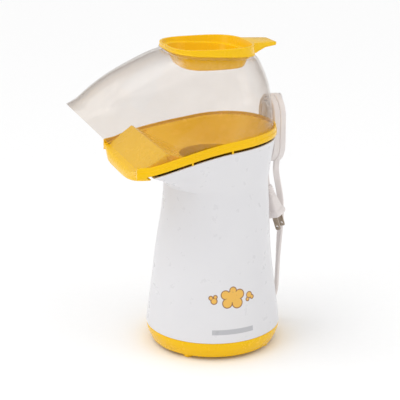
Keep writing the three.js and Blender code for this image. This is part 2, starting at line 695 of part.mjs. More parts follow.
// ---------------------------------------------------------------- popping chamber and its support
function poppingChamber() {
  const t = 1;
  let chamber = turned([
    [0, CHAMBER_BOTTOM + 3], [22, CHAMBER_BOTTOM + 2], [34, CHAMBER_BOTTOM],
    [CHAMBER_R - 0.6, CHAMBER_BOTTOM + 0.6], [CHAMBER_R, CHAMBER_BOTTOM + 3],
    [CHAMBER_R, CHAMBER_TOP - 1.2], [45, CHAMBER_TOP - 1.2], [45, CHAMBER_TOP],
    [CHAMBER_R - t, CHAMBER_TOP], [CHAMBER_R - t, CHAMBER_BOTTOM + 3],
    [34, CHAMBER_BOTTOM + t], [22, CHAMBER_BOTTOM + 2 + t], [0, CHAMBER_BOTTOM + 3 + t],
  ], 28);
  const cuts = [];
  for (let i = 0; i < 14; i++) {
    const louvre = new THREE.BoxGeometry(6, 1.6, 12);
    louvre.rotateX(0.5);
    louvre.translate(CHAMBER_R, 0, CHAMBER_BOTTOM + 15);
    louvre.rotateZ((2 * Math.PI * i) / 14);
    cuts.push(toSolid(louvre));
  }
  chamber = chamber.subtract(joined(cuts));
  return chamber;
}

function chamberDeck() {
  const r = columnR(NECK_Z) - WALL - 1.2;
  const deck = turned([
    [CHAMBER_R + 1, 194], [r - 2.6, 194], [r - 2.6, 196.4], [47.5, 196.4], [46.5, 198],
    [46.5, 208], [44, CHAMBER_TOP - 1.2 - GAP], [CHAMBER_R + 1, CHAMBER_TOP - 1.2 - GAP],
    [CHAMBER_R + 1, 209], [44, 207], [44.4, 197], [CHAMBER_R + 1, 196.4],
  ], 28);
  return deck;
}

const DUCT_R = 47.4;

function airDuct() {
  return turned([
    [DUCT_R - 1, 109.6], [DUCT_R, 109.6], [DUCT_R, 186], [CHAMBER_R + 0.5, 186],
    [CHAMBER_R + 0.5, 185], [DUCT_R - 1, 185],
  ], 28);
}

// ---------------------------------------------------------------- heater
function heaterFrame() {
  const ring = turned([[31, 113], [46, 113], [46, 114.6], [31, 114.6]], 28);
  const spokes = joined([0, 1].map((i) => {
    const spoke = new THREE.BoxGeometry(70, 6, 1.6);
    spoke.translate(0, 0, 113.8);
    spoke.rotateZ(i * Math.PI / 2 + Math.PI / 4);
    return toSolid(spoke);
  }));
  const foot = (turn) => {
    const plate = new THREE.BoxGeometry(53, 0.8, 26.6);
    plate.translate(0, 0, 127.3);
    plate.rotateZ(turn);
    return toSolid(plate);
  };
  return joined([ring, spokes, foot(Math.PI / 4), foot(-Math.PI / 4)]);
}

function heatingCoil() {
  const points = [];
  const turns = 4;
  for (let i = 0; i <= turns * 14; i++) {
    const a = (2 * Math.PI * i) / 14;
    points.push([29.4 * Math.cos(a), 29.4 * Math.sin(a), 118 + (20 * i) / (turns * 14)]);
  }
  return tube(points, 1.5, 6, turns * 12);
}

function thermostat() {
  return rodAlongY(8, -52.6, -48.4, 0, 160, 20).add(box(-12, 12, -48.6, -47.7, 156, 164))
    .add(box(-6, -4, -55.2, -52, 158, 162)).add(box(4, 6, -55.2, -52, 158, 162));
}

function thermalFuse() {
  const body = new THREE.CylinderGeometry(2.4, 2.4, 13, 14);
  const lead = new THREE.CylinderGeometry(0.6, 0.6, 26, 8);
  return toSolid(body).add(toSolid(lead)).translate([51.2, 0, 168]);
}

// ---------------------------------------------------------------- fan and motor
const CASE_Z0 = 84;
const CASE_R = 50.5;

function fanCase() {
  let shell = turned([
    [8, CASE_Z0], [CASE_R, CASE_Z0], [CASE_R, 112], [CASE_R - 1.8, 112], [CASE_R - 1.8, 109.2],
    [DUCT_R - 1, 109.2], [DUCT_R - 1, 107.4], [CASE_R - 2, 107.4], [CASE_R - 2, CASE_Z0 + 2],
    [8, CASE_Z0 + 2],
  ], 28);
  const ears = postAngles.map((angle) => {
    const [x, y] = polar(POST_R, angle);
    const arm = new THREE.BoxGeometry(POST_R - CASE_R + 3, 8, 3);
    arm.translate((POST_R + CASE_R - 1) / 2, 0, 102.2);
    arm.rotateZ(THREE.MathUtils.degToRad(angle));
    return rod(4.2, 100.7, 103.7, 14, x, y).add(toSolid(arm)).subtract(rod(1.9, 98, 106, 12, x, y));
  });
  shell = shell.add(joined(ears));
  const inlets = [];
  for (let i = 0; i < 10; i++) {
    const inlet = new THREE.BoxGeometry(10, 7, 6);
    inlet.translate(28, 0, CASE_Z0 + 1);
    inlet.rotateZ((2 * Math.PI * (i + 0.5)) / 10);
    inlets.push(toSolid(inlet));
  }
  shell = shell.subtract(joined(inlets));
  for (const side of [1, -1]) shell = shell.subtract(rod(1.9, 80, 90, 12, 0, side * 13));
  return shell;
}

function caseScrew(angle) {
  const [x, y] = polar(POST_R, angle);
  return rod(3.4, 98, 100.4, 12, x, y).add(rod(1.5, 100.2, 122, 8, x, y));
}

function impeller() {
  const plate = turned([[2.3, 89], [44, 89], [44, 90.4], [9, 90.4], [7, 101], [2.3, 101]], 24);
  const blades = [];
  for (let i = 0; i < 12; i++) {
    const blade = new THREE.BoxGeometry(20, 1.4, 12.2);
    blade.rotateZ(0.5);
    blade.translate(33, 0, 96.2);
    blade.rotateZ((2 * Math.PI * i) / 12);
    blades.push(toSolid(blade));
  }
  return plate.add(joined(blades));
}

const motorShaft = () => rod(1.9, 40, 105.6, 16);
const shaftNut = () => rod(4, 101.4, 104.4, 6).subtract(rod(2.25, 100, 106, 16));

function motorCan() {
  const can = turned([
    [2.4, 50], [7, 50], [7, 53], [16, 53], [18, 55], [18, 80.5], [8, 80.5], [8, CASE_Z0 - 1 - GAP],
    [2.4, CASE_Z0 - 1 - GAP],
  ], 28);
  const lugs = [1, -1].map((side) =>
    box(-3.6, 3.6, Math.min(side * 9, side * 16.4), Math.max(side * 9, side * 16.4), 79, CASE_Z0 - GAP)
      .subtract(rod(1.9, 78, 90, 12, 0, side * 13)));
  return can.subtract(rod(1.9, 74, 90, 12, 0, 13)).subtract(rod(1.9, 74, 90, 12, 0, -13)).add(joined(lugs));
}

function motorCap() {
  return turned([[2.4, 44], [6, 44], [6, 47.4], [17, 47.4], [18.4, 48.6], [18.4, 52.2], [17.4, 52.2],
    [17.4, 49.7], [2.4, 49.7]], 28);
}

const motorScrew = (side) =>
  rod(3.2, CASE_Z0 + 2.2, CASE_Z0 + 4, 12, 0, side * 13).add(rod(1.5, 76, CASE_Z0 + 2.4, 8, 0, side * 13));

// ---------------------------------------------------------------- mains side
function rectifierBoard() {
  return box(24, 52, -16, 16, 60, 61.6);
}

function diode(i) {
  const body = new THREE.CylinderGeometry(1.9, 1.9, 7, 12);
  body.rotateZ(Math.PI / 2);
  body.translate(38, -10.5 + 7 * i, 63.9);
  return toSolid(body);
}

function boardPost() {
  return box(30, 46, -19.5, -17, 50, 66).add(box(30, 46, 17, 19.5, 50, 66))
    .add(box(30, 46, -19.5, 19.5, 48, 50));
}

function terminalBlock() {
  return box(-38, -14, 30, 42, 8.5, 20).subtract(box(-35, -28, 29, 43, 13, 22))
    .subtract(box(-24, -17, 29, 43, 13, 22));
}

function innerWire(side) {
  const x = RELIEF_X + side * 2.2;
  return tube([
    [x, 61.6, 8.8], [x + side * 0.4, 58, 8.2], [x + side * 2, 50, 9.4], [x + side * 3.2, 43.8, 15.4],
  ], 1.2, 8, 10);
}

function strainRelief() {
  const body = reliefChannel(0, 0, RELIEF_LENGTH - 3);
  const flange = reliefChannel(0.8, -1.4, 0.4);
  const ribs = [0, 1].map((i) => {
    const y = RELIEF_LENGTH - 3.2 + i * 1.6;
    return reliefChannel(-1.6 - i, y, y + 1.6);
  });
  return joined([body, flange, ...ribs]);
}

// ---------------------------------------------------------------- cord
const LEAD_ROUTE = [
  [-24, 84.2, 25.4], [-24, 87.6, 29.2], [-24, 90, 35], [-24, 91.2, 43], [-24, 91.8, 56], [-24, 92.4, 72],
  [-24, 93, 88], [-24, 93.8, 104], [-23.8, 94.6, 120], [-23.2, 94.8, 136], [-22.2, 93.6, 151],
  [-20.2, 90.8, 165], [-17, 87, 178], [-13, 83.6, 189], [-9.2, 81.6, 198],
];
const PLUG_TOP = [-5, 70.4, 176.5];
const PLUG_DOWN = new THREE.Vector3(0.1, 0.27, -0.957).normalize();
const PLUG_ROUTE = [
  [-41.2, 75.2, 213], [-40, 75, 206], [-36.4, 74.6, 199], [-30.4, 74, 194.6], [-23, 73, 192.2],
  [-15.4, 71.2, 189.6], [-9.5, 69.6, 185.5],
];

function cordLead() {
  return tube(LEAD_ROUTE, CORD_D / 2, 10, 20);
}

function plugLead() {
  const ends = [4.5, 2 * GAP].map((back) =>
    new THREE.Vector3(...PLUG_TOP).addScaledVector(PLUG_DOWN, -back).toArray());
  return tube([...PLUG_ROUTE, ...ends], CORD_D / 2, 10, 12);
}

function hankOutline(r) {
  const shape = new THREE.Shape();
  shape.absarc(HANK_X, HANK_HIGH - HANK_R, r, 0, Math.PI, false);
  shape.absarc(HANK_X, HANK_LOW + HANK_R, r, Math.PI, 2 * Math.PI, false);
  shape.closePath();
  return shape;
}

function cordHank() {
  const shape = hankOutline(HANK_R);
  shape.holes.push(hankOutline(HANK_R - HANK_THICK));
  return standing(shape, HANK_Y0, HANK_Y1, 10);
}

// Plug drawn pointing along -z from its relief's top, blades side by side along x.
const PLUG_BODY = 36.5;
const PLUG_TURN = THREE.MathUtils.degToRad(133);

function place(solid) {
  const geometry = toGeometry(solid);
  geometry.rotateZ(PLUG_TURN);
  const turn = new THREE.Quaternion().setFromUnitVectors(new THREE.Vector3(0, 0, -1), PLUG_DOWN);
  geometry.applyQuaternion(turn);
  geometry.translate(...PLUG_TOP);
  return geometry;
}

function roundedSlab(w, d, z0, z1, r, w2 = w, d2 = d) {
  const ring = (hw, hd, z) => {
    const points = [];
    for (const [sx, sy, start] of [[1, 1, 0], [-1, 1, 90], [-1, -1, 180], [1, -1, 270]]) {
      for (let i = 0; i <= 4; i++) {
        const [cx, cy] = polar(r, start + i * 22.5);
        points.push([sx * (hw / 2 - r) + cx, sy * (hd / 2 - r) + cy, z]);
      }
    }
    return points;
  };
  return loft([ring(w2, d2, z0), ring(w, d, z1)], false);
}

function plugBody() {
  const pieces = [roundedSlab(9.4, 6.6, -PLUG_BODY + 3, 0, 3, 9.4, 6.6)];
  for (let i = 0; i < 4; i++) {
    pieces.push(roundedSlab(10.6 + i * 0.6, 7.8 + i * 0.4, -3.6 - i * 3, -2 - i * 3, 3.4));
  }
  pieces.push(roundedSlab(12.5, 9, -31, -12.8, 4, 20, 13.4));
  pieces.push(roundedSlab(22, 14.6, -PLUG_BODY, -30.4, 5, 25.4, 17));
  return place(joined(pieces));
}

function plugBlade(side) {
  const x = side * 6.35;
  const blade = box(x - 0.75, x + 0.75, -3.15, 3.15, -PLUG_BODY - 17.4, -PLUG_BODY - GAP);
  const hole = rodAlongY(1.6, -5, 5, 0, 0, 16).rotate([0, 0, 90]).translate([x, 0, -PLUG_BODY - 13]);
  return place(blade.subtract(hole));
}

// ---------------------------------------------------------------- assembly
const appliance = new THREE.Group();
appliance.position.y = AXIS_Y;

function add(name, shape, material) {
  const geometry = shape.isBufferGeometry ? shape : toGeometry(shape);
  const mesh = new THREE.Mesh(geometry, material);
  mesh.name = name;
  appliance.add(mesh);
}

add('base_pan', basePan(), YELLOW);
baseScrewAngles.forEach((angle, i) => add(`base_screw_${i + 1}`, baseScrew(angle), STEEL));
add('housing', housing(), WHITE);
add('cord_wrap', cordWrap(), WHITE);
WRAP_SCREW_Z.forEach((z, i) => add(`cord_wrap_screw_${i + 1}`, wrapScrew(z), STEEL));
add('popping_chamber', poppingChamber(), ALUMINIUM);
add('chamber_deck', chamberDeck(), BLACK);
add('air_duct', airDuct(), STEEL);
add('heater_frame', heaterFrame(), MICA);
add('heating_coil', heatingCoil(), COPPER);
add('thermostat', thermostat(), BLACK);
add('thermal_fuse', thermalFuse(), STEEL);
add('fan_case', fanCase(), BLACK);
postAngles.forEach((angle, i) => add(`fan_case_screw_${i + 1}`, caseScrew(angle), STEEL));
add('motor_can', motorCan(), STEEL);
add('motor_end_cap', motorCap(), BLACK);
[1, -1].forEach((side, i) => add(`motor_screw_${i + 1}`, motorScrew(side), STEEL));
add('motor_shaft', motorShaft(), STEEL);
add('fan_impeller', impeller(), BLACK);
add('shaft_nut', shaftNut(), BRASS);
add('rectifier_board', rectifierBoard(), GREEN);
for (let i = 0; i < 4; i++) add(`diode_${i + 1}`, diode(i), BLACK);
add('board_bracket', boardPost(), WHITE);
add('terminal_block', terminalBlock(), WHITE);
add('inner_wire_live', innerWire(1), BLACK);
add('inner_wire_neutral', innerWire(-1), WHITE);
add('strain_relief', strainRelief(), CORD);
add('cord_lead', cordLead(), CORD);
add('cord_hank', cordHank(), CORD);
add('plug_lead', plugLead(), CORD);
add('plug_body', plugBody(), CORD);
add('plug_blade_1', plugBlade(1), BRASS);
add('plug_blade_2', plugBlade(-1), BRASS);
add('chute_tray', chuteTray(), YELLOW);
add('clear_cover', clearCover(), CLEAR);
add('butter_cup', butterCup(), YELLOW);

export default appliance;
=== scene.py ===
"""Looks of a hot-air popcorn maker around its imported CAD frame.

Shapes are worked out in millimetres about the popping chamber's axis (local frame: mouth towards -Y,
z = 0 on the worktop) and turned into row-frame metres when a mesh is made.
"""
import json
import math

import bmesh
import bpy
import numpy as np
from mathutils import Euler, Matrix, Vector


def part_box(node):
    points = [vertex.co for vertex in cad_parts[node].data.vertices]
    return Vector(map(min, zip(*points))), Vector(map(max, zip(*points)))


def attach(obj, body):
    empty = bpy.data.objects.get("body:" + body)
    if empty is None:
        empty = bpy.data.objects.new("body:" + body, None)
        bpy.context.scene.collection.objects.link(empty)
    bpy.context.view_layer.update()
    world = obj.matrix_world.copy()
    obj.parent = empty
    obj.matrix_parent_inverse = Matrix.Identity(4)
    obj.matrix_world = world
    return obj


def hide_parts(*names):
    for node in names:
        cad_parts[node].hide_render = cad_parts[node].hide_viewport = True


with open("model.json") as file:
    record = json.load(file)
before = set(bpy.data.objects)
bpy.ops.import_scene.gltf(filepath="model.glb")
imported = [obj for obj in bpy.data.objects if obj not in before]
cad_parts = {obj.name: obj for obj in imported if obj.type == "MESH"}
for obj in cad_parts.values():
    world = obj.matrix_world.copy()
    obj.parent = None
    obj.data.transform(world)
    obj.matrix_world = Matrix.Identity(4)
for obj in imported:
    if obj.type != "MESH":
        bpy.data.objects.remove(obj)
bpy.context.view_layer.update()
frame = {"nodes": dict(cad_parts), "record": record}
scene = bpy.context.scene

MM = 0.001
PAN_LOW, PAN_HIGH = (np.array(corner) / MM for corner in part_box("base_pan"))
AXIS_Y = (PAN_LOW[1] + PAN_HIGH[1]) / 2      # chamber axis in the row frame, mm

# ---- driving dimensions, mm
GAP = 0.3
WALL = 2.4
PAN_TOP = 23
PAN_BOTTOM = 4
PAN_R_TOP = (PAN_HIGH[0] - PAN_LOW[0]) / 2
PAN_R_BOTTOM = 71.7
FOOT_R = 6.5
FOOT_PITCH = 64
FOOT_ANGLES = (45, 135, 225, 315)
SCREW_PITCH = 64
BASE_SCREW_ANGLES = (60, 180, 300)
NECK_Z = 192
NECK_R = 59.6
HOUSING_R = 78.3
NECK_SHIFT = 3.5
RIM_W = 70
RIM_FLARE = 6
RIM_REAR = 70
RIM_FRONT = 250
RIM_ORDER = 3.5
RIM_STOP = -92
BAND_H = 9.5
BAND_GAP = 3.4
CREASE_Y = -76
CREASE_Z = 246
FOLD_Y = -104.5
FOLD_Z = 227
HOLE_R = 38
HOLE_Z = 225
COLLAR_Z = 213
RIDGE_INSET = 7.4
MOUTH_TIP = (-164, 289.6)
MOUTH_FOOT = (-105.5, 228)
COVER_WALL = 2
COVER_TOP = 343
COVER_TILT = 0.07
COLLAR_H = 1.8
CUP_RIM_Z = 350
CUP_W = 50
CUP_MID_Y = -7.9
CUP_L = 48.7
CUP_ORDER = 3.1
HANDLE_TIP = 70.3
CUP_FLOOR = 325
CUP_NECK = 4.5
HANK_X = -18
HANK_R = 25
HANK_LOW = 203
HANK_HIGH = 283
HANK_Y0 = 71.6
HANK_Y1 = 86.8
HANK_THICK = 8.4
SPINE_Y0 = 69.2
RING_CENTRE_Y = -20
RAYS = 240
ROD_SIDES = 32
PLUG_POINTS = 40
CUP_POINTS = 160


def smooth(value, low, high):
    t = np.clip((np.asarray(value, float) - low) / (high - low), 0, 1)
    return t * t * (3 - 2 * t)


def lerp(a, b, k):
    return a + (b - a) * k


def polar(r, degrees):
    return r * math.cos(math.radians(degrees)), r * math.sin(math.radians(degrees))


# ---- meshes
def to_row(points):
    """Local millimetres to row-frame metres."""
    return (np.asarray(points, float) + (0, AXIS_Y, 0)) * MM


def linked(name, data):
    made = bpy.data.objects.new(name, data)
    scene.collection.objects.link(made)
    return made


def new_object(name, points, faces, sharp=35):
    mesh = bpy.data.meshes.new(name)
    mesh.from_pydata([tuple(p) for p in to_row(points)], [], [tuple(f) for f in faces])
    edit = bmesh.new()
    edit.from_mesh(mesh)
    bmesh.ops.remove_doubles(edit, verts=edit.verts, dist=1e-6)
    bmesh.ops.dissolve_degenerate(edit, edges=edit.edges, dist=1e-7)
    bmesh.ops.recalc_face_normals(edit, faces=edit.faces)
    edit.to_mesh(mesh)
    edit.free()
    mesh.shade_smooth()
    mesh.set_sharp_from_angle(angle=math.radians(sharp))
    return linked(name, mesh)


def ring_faces(rows, columns, looped):
    """Quads between rings that follow each other; each ring closes on itself."""
    faces = []
    for i in range(rows if looped else rows - 1):
        k = (i + 1) % rows
        for j in range(columns):
            m = (j + 1) % columns
            faces.append((i * columns + j, i * columns + m, k * columns + m, k * columns + j))
    if not looped:
        faces.append(tuple(reversed(range(columns))))
        faces.append(tuple(range((rows - 1) * columns, rows * columns)))
    return faces


def lofted(name, rings, looped, sharp=35):
    """Skin over rings that follow each other: capped at both ends, or looped back to the first ring."""
    rings = [np.asarray(ring, float) for ring in rings]
    return new_object(name, np.vstack(rings), ring_faces(len(rings), len(rings[0]), looped), sharp)


def turned(name, profile, sides, centre=(0, 0)):
    """Solid of revolution; a profile that starts off the axis closes on itself."""
    angles = np.arange(sides) * 2 * math.pi / sides
    on_axis = profile[0][0] == 0
    rings = []
    for r, z in profile:
        r = max(r, 1e-3)
        rings.append([(centre[0] + r * math.cos(a), centre[1] + r * math.sin(a), z) for a in angles])
    return lofted(name, rings, not on_axis)


def rounded_profile(corners, steps):
    """Profile with rounded corners: each corner is (r, z) or (r, z, how far the rounding reaches)."""
    points = []
    count = len(corners)
    for i, corner in enumerate(corners):
        here = np.array(corner[:2], float)
        fillet = corner[2] if len(corner) > 2 else 0
        if not fillet or i in (0, count - 1):
            points.append(tuple(here))
            continue
        before = np.array(corners[i - 1][:2], float) - here
        after = np.array(corners[i + 1][:2], float) - here
        a = before / np.linalg.norm(before)
        b = after / np.linalg.norm(after)
        reach = min(fillet, 0.45 * np.linalg.norm(before), 0.45 * np.linalg.norm(after))
        for k in np.linspace(0, 1, steps + 1):
            p = here + a * reach * (1 - k) ** 2 + b * reach * k ** 2
            points.append(tuple(p))
    return points


def rod(name, r, z0, z1, x, y, bevel=0.4):
    corners = [(0, z0), (r, z0, bevel), (r, z1, bevel), (0, z1)]
    return turned(name, rounded_profile(corners, 2), ROD_SIDES, (x, y))


def bevel_edges(made, chosen, width, sharp):
    """Rounds the edges that `chosen` accepts, then shades the piece smooth up to the angle `sharp`."""
    edit = bmesh.new()
    edit.from_mesh(made.data)
    edges = [e for e in edit.edges if chosen(e)]
    bmesh.ops.bevel(edit, geom=edges, offset=width * MM, segments=2, profile=0.5, affect="EDGES",
                    clamp_overlap=True)
    edit.to_mesh(made.data)
    edit.free()
    made.data.shade_smooth()
    made.data.set_sharp_from_angle(angle=math.radians(sharp))


def slab(name, outline, low, high, axis, bevel=0.5):
    """Outline drawn in a plane and given thickness along axis 'x', 'y' or 'z', with rounded edges."""
    place = "xyz".index(axis)

    def at(u, v, w):
        point = [u, v]
        point.insert(place, w)
        return tuple(point)

    count = len(outline)
    points = [at(u, v, w) for w in (low, high) for u, v in outline]
    faces = [tuple(range(count)), tuple(range(2 * count - 1, count - 1, -1))]
    faces += [(i, i + count, (i + 1) % count + count, (i + 1) % count) for i in range(count)]
    made = new_object(name, points, faces)
    if bevel:
        bevel_edges(made, lambda e: e.calc_face_angle(0) > math.radians(50), bevel, 40)
    return made


def block(name, x0, x1, y0, y1, z0, z1, bevel=0.5):
    return slab(name, [(x0, y0), (x1, y0), (x1, y1), (x0, y1)], z0, z1, "z", bevel)


def arc(cx, cy, r, start, end, steps):
    across = [polar(r, angle) for angle in np.linspace(start, end, steps)]
    return [(cx + x, cy + y) for x, y in across]


def boolean(target, cutters, operation="DIFFERENCE", sharp=35):
    """Joins or cuts the target with each cutter; the cutters are used up."""
    for cutter in cutters:
        modifier = target.modifiers.new("cut", "BOOLEAN")
        modifier.operation = operation
        modifier.solver = "EXACT"
        modifier.object = cutter
        bpy.context.view_layer.update()
        graph = bpy.context.evaluated_depsgraph_get()
        result = bpy.data.meshes.new_from_object(target.evaluated_get(graph))
        target.modifiers.clear()
        target.data = result
        bpy.data.objects.remove(cutter)
    target.data.shade_smooth()
    target.data.set_sharp_from_angle(angle=math.radians(sharp))
    return target


def merged(name, parts):
    """One object out of several closed shells."""
    edit = bmesh.new()
    for part in parts:
        edit.from_mesh(part.data)
    mesh = bpy.data.meshes.new(name)
    edit.to_mesh(mesh)
    edit.free()
    for part in parts:
        bpy.data.objects.remove(part)
    return linked(name, mesh)


def finish_piece(made, body, slot, *nodes, material=None):
    """Gives a piece its body and the material of its slot, and hides the CAD nodes that it takes the place
    of.
    """
    made.data.materials.clear()
    made.data.materials.append(material or MATERIALS[slot])
    made.data.polygons.foreach_set("material_index", [0] * len(made.data.polygons))
    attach(made, body)
    if nodes:
        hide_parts(*nodes)
    return made


# ---- camera
CAMERA_TURN = 70.2553        # degrees round the chamber axis, from straight ahead of the mouth
CAMERA_RADIUS = 1300
CAMERA_HEIGHT = 573.17
CAMERA_YAW = 0.6445
CAMERA_PITCH = 17.3252
CAMERA_LENS = 106.99         # on a 36 mm sensor


def make_camera():
    turn = math.radians(CAMERA_TURN)
    place = (CAMERA_RADIUS * math.sin(turn), -CAMERA_RADIUS * math.cos(turn), CAMERA_HEIGHT)
    data = bpy.data.cameras.new("camera")
    data.lens = CAMERA_LENS
    data.sensor_width = 36
    data.clip_end = 100
    camera = linked("camera", data)
    camera.location = to_row(place)
    heading = turn + math.radians(CAMERA_YAW)
    camera.rotation_euler = Euler((math.radians(90 - CAMERA_PITCH), 0, heading))
    scene.camera = camera


make_camera()


# ---- materials
class Nodes:
    """Short forms for building one material's node tree."""

    def __init__(self, name):
        self.material = bpy.data.materials.new(name)
        self.material.use_nodes = True
        self.tree = self.material.node_tree
        self.tree.nodes.clear()
        self.output = self.add("ShaderNodeOutputMaterial")
        self.place = self.add("ShaderNodeTexCoord").outputs["Object"]

    def add(self, kind, inputs=None, **settings):
        node = self.tree.nodes.new(kind)
        for key, value in settings.items():
            setattr(node, key, value)
        for key, value in (inputs or {}).items():
            self.set(node.inputs[key], value)
        return node

    def set(self, socket, value):
        if isinstance(value, bpy.types.NodeSocket):
            self.tree.links.new(value, socket)
        else:
            socket.default_value = value

    def noise(self, scale, detail=4, roughness=0.55, stretch=(1, 1, 1)):
        mapping = self.add("ShaderNodeMapping", {"Vector": self.place, "Scale": stretch})
        noise = self.add("ShaderNodeTexNoise", {
            "Vector": mapping.outputs[0],
            "Scale": scale,
            "Detail": detail,
            "Roughness": roughness,
        })
        return noise.outputs["Fac"]

    def ramp(self, factor, low, high, start=0.3, end=0.7):
        node = self.add("ShaderNodeMapRange", {"Value": factor, "From Min": start, "From Max": end,
                                               "To Min": low, "To Max": high})
        return node.outputs[0]

    def mix(self, factor, a, b):
        """Blend of two colours; sockets 6, 7 and 2 are the node's colour ones."""
        return self.add("ShaderNodeMix", {0: factor, 6: a, 7: b}, data_type="RGBA").outputs[2]

    def math(self, operation, a, b=0.0, c=0.0):
        node = self.add("ShaderNodeMath", operation=operation)
        for socket, value in zip(node.inputs, (a, b, c)):
            self.set(socket, value)
        return node.outputs[0]

    def bump(self, height, strength, distance):
        node = self.add("ShaderNodeBump", {"Height": height, "Strength": strength, "Distance": distance})
        return node.outputs[0]

    def finished(self, shader):
        self.set(self.output.inputs[0], shader.outputs[0])
        return self.material


def srgb(r, g, b):
    def linear(v):
        v /= 255
        return v / 12.92 if v <= 0.04045 else ((v + 0.055) / 1.055) ** 2.4
    return (linear(r), linear(g), linear(b), 1)


EDGE_RADIUS = 0.0006         # metres
WORN_SHARE = 0.3
WORN_COSINES = (0.6, 0.93)   # between rounded and real normal: fully worn, not worn
PLASTIC_IOR = 1.5


def plastic(name, colour, dark, roughness=(0.2, 0.3), grain=0.00004, grain_scale=1400, tint=None,
            printed=None):
    """Moulded plastic: slow colour drift, fine grain, slightly uneven gloss and slightly paler edges."""
    n = Nodes(name)
    drift = n.noise(18, 3)
    cloud = n.noise(70, 5, 0.6)
    colour_out = n.mix(n.ramp(drift, 0, 0.6), colour, dark)
    bevel = n.add("ShaderNodeBevel", {"Radius": EDGE_RADIUS}, samples=4)
    geometry = n.add("ShaderNodeNewGeometry")
    normals = {0: bevel.outputs[0], 1: geometry.outputs["Normal"]}
    edge = n.add("ShaderNodeVectorMath", normals, operation="DOT_PRODUCT")
    worn = n.ramp(edge.outputs["Value"], WORN_SHARE, 0.0, *WORN_COSINES)
    lighter = tuple(min(1, v * 1.08 + 0.03) for v in colour[:3]) + (1,)
    colour_out = n.mix(worn, colour_out, lighter)
    if printed:
        colour_out = printed(n, colour_out)
    fine = n.noise(grain_scale, 3, 0.6)
    shader = n.add("ShaderNodeBsdfPrincipled", {
        "Base Color": colour_out,
        "Roughness": n.ramp(cloud, roughness[0], roughness[1]),
        "IOR": PLASTIC_IOR,
        "Normal": n.bump(fine, 0.5, grain),
    })
    if tint:
        shader.inputs["Specular Tint"].default_value = tint
    return n.finished(shader)


PRINT_TURN = math.radians(88.5)      # direction of both prints round the column, from the mouth side
PRINT_R = 71.5
PUFF_Z = 74
PUFF = ((0, 2, 7.5), (-8, 4.5, 5.5), (8.5, 4, 6), (-6, -5, 6), (5.5, -5.5, 6.5), (1, 9, 4.5),
        (-21, -2, 4), (-24.5, 1.5, 2.8), (-19.5, 2.6, 2.6), (21, 1, 4), (24.6, -2, 2.8), (18.6, -3.6, 2.6))
PUFF_LOBES = 6               # the first circles make the big puff, with a fold line where two overlap
BAR_Z = 36
BAR_HALF = (23, 2.8)
PUFF_OUTLINE = srgb(150, 104, 72)
PUFF_GOLD = srgb(238, 186, 84)
PUFF_CURL = srgb(168, 118, 78)
BAR_GREY = srgb(188, 188, 192)


def housing_prints(n, colour):
    """Two plain prints without letters: a burst of puffed corn and, below it, a grey bar."""
    x, y, z = n.add("ShaderNodeSeparateXYZ", {0: n.place}).outputs
    turn = n.math("ARCTAN2", x, n.math("MULTIPLY_ADD", y, -1.0, AXIS_Y * MM))
    across = n.math("MULTIPLY", n.math("SUBTRACT", turn, PRINT_TURN), PRINT_R)
    up = n.math("MULTIPLY_ADD", z, 1 / MM, -PUFF_Z)

    def from_circle(cx, cy, r):
        dx = n.math("SUBTRACT", across, cx)
        dy = n.math("SUBTRACT", up, cy)
        square = n.math("MULTIPLY_ADD", dx, dx, n.math("MULTIPLY", dy, dy))
        return n.math("SUBTRACT", n.math("SQRT", square), r)

    rings = [from_circle(*circle) for circle in PUFF]
    outside = rings[0]
    for ring in rings[1:]:
        outside = n.math("MINIMUM", outside, ring)
    colour = n.mix(n.ramp(outside, 1, 0, -0.1, 0.15), colour, PUFF_OUTLINE)
    colour = n.mix(n.ramp(outside, 1, 0, -1.2, -0.95), colour, PUFF_GOLD)
    for ring in rings[:PUFF_LOBES]:
        line = n.math("ABSOLUTE", n.math("ADD", ring, 2.2))
        inner = n.math("MULTIPLY", n.ramp(line, 1, 0, 0.3, 0.5), n.ramp(outside, 1, 0, -3.2, -2.6))
        colour = n.mix(inner, colour, PUFF_CURL)
    low = n.math("MULTIPLY_ADD", z, 1 / MM, -BAR_Z)
    wide = n.math("SUBTRACT", n.math("ABSOLUTE", across), BAR_HALF[0])
    tall = n.math("SUBTRACT", n.math("ABSOLUTE", low), BAR_HALF[1])
    bar = n.ramp(n.math("MAXIMUM", wide, tall), 1, 0, -0.1, 0.15)
    return n.mix(bar, colour, BAR_GREY)


MILK_SHARE = 0.012
GLANCING_GLOSS = 0.6
FACING_GLOSS = 0.02


def clear_plastic():
    """Clear thin wall: warm tint, deeper where it is seen edge-on, with haze and hairline marks."""
    n = Nodes("clear_moulded")
    facing = n.add("ShaderNodeLayerWeight", {"Blend": 0.5}).outputs["Facing"]
    reflected = n.math("MULTIPLY_ADD", n.math("POWER", facing, 5.0), GLANCING_GLOSS, FACING_GLOSS)
    haze = n.noise(40, 5, 0.6)
    scratches = n.noise(240, 6, 0.7, (1, 6, 0.3))
    rough = n.math("ADD", n.ramp(haze, 0.03, 0.08), n.ramp(scratches, 0, 0.05, 0.55, 0.7))
    ripple = n.bump(n.noise(26, 2), 0.25, 0.0004)
    gloss = n.add("ShaderNodeBsdfAnisotropic", {"Color": (1, 1, 1, 1), "Roughness": rough, "Normal": ripple})
    tint = n.mix(n.ramp(haze, 0, 1), (0.965, 0.953, 0.943, 1), (0.95, 0.936, 0.924, 1))
    tint = n.mix(n.math("POWER", facing, 3.0), tint, (0.72, 0.68, 0.65, 1))
    through = n.add("ShaderNodeBsdfTransparent", {"Color": tint})
    milk = n.add("ShaderNodeBsdfDiffuse", {"Color": (0.88, 0.86, 0.85, 1)})
    body = n.add("ShaderNodeMixShader", {0: MILK_SHARE, 1: through.outputs[0], 2: milk.outputs[0]})
    shader = n.add("ShaderNodeMixShader", {0: reflected, 1: body.outputs[0], 2: gloss.outputs[0]})
    return n.finished(shader)


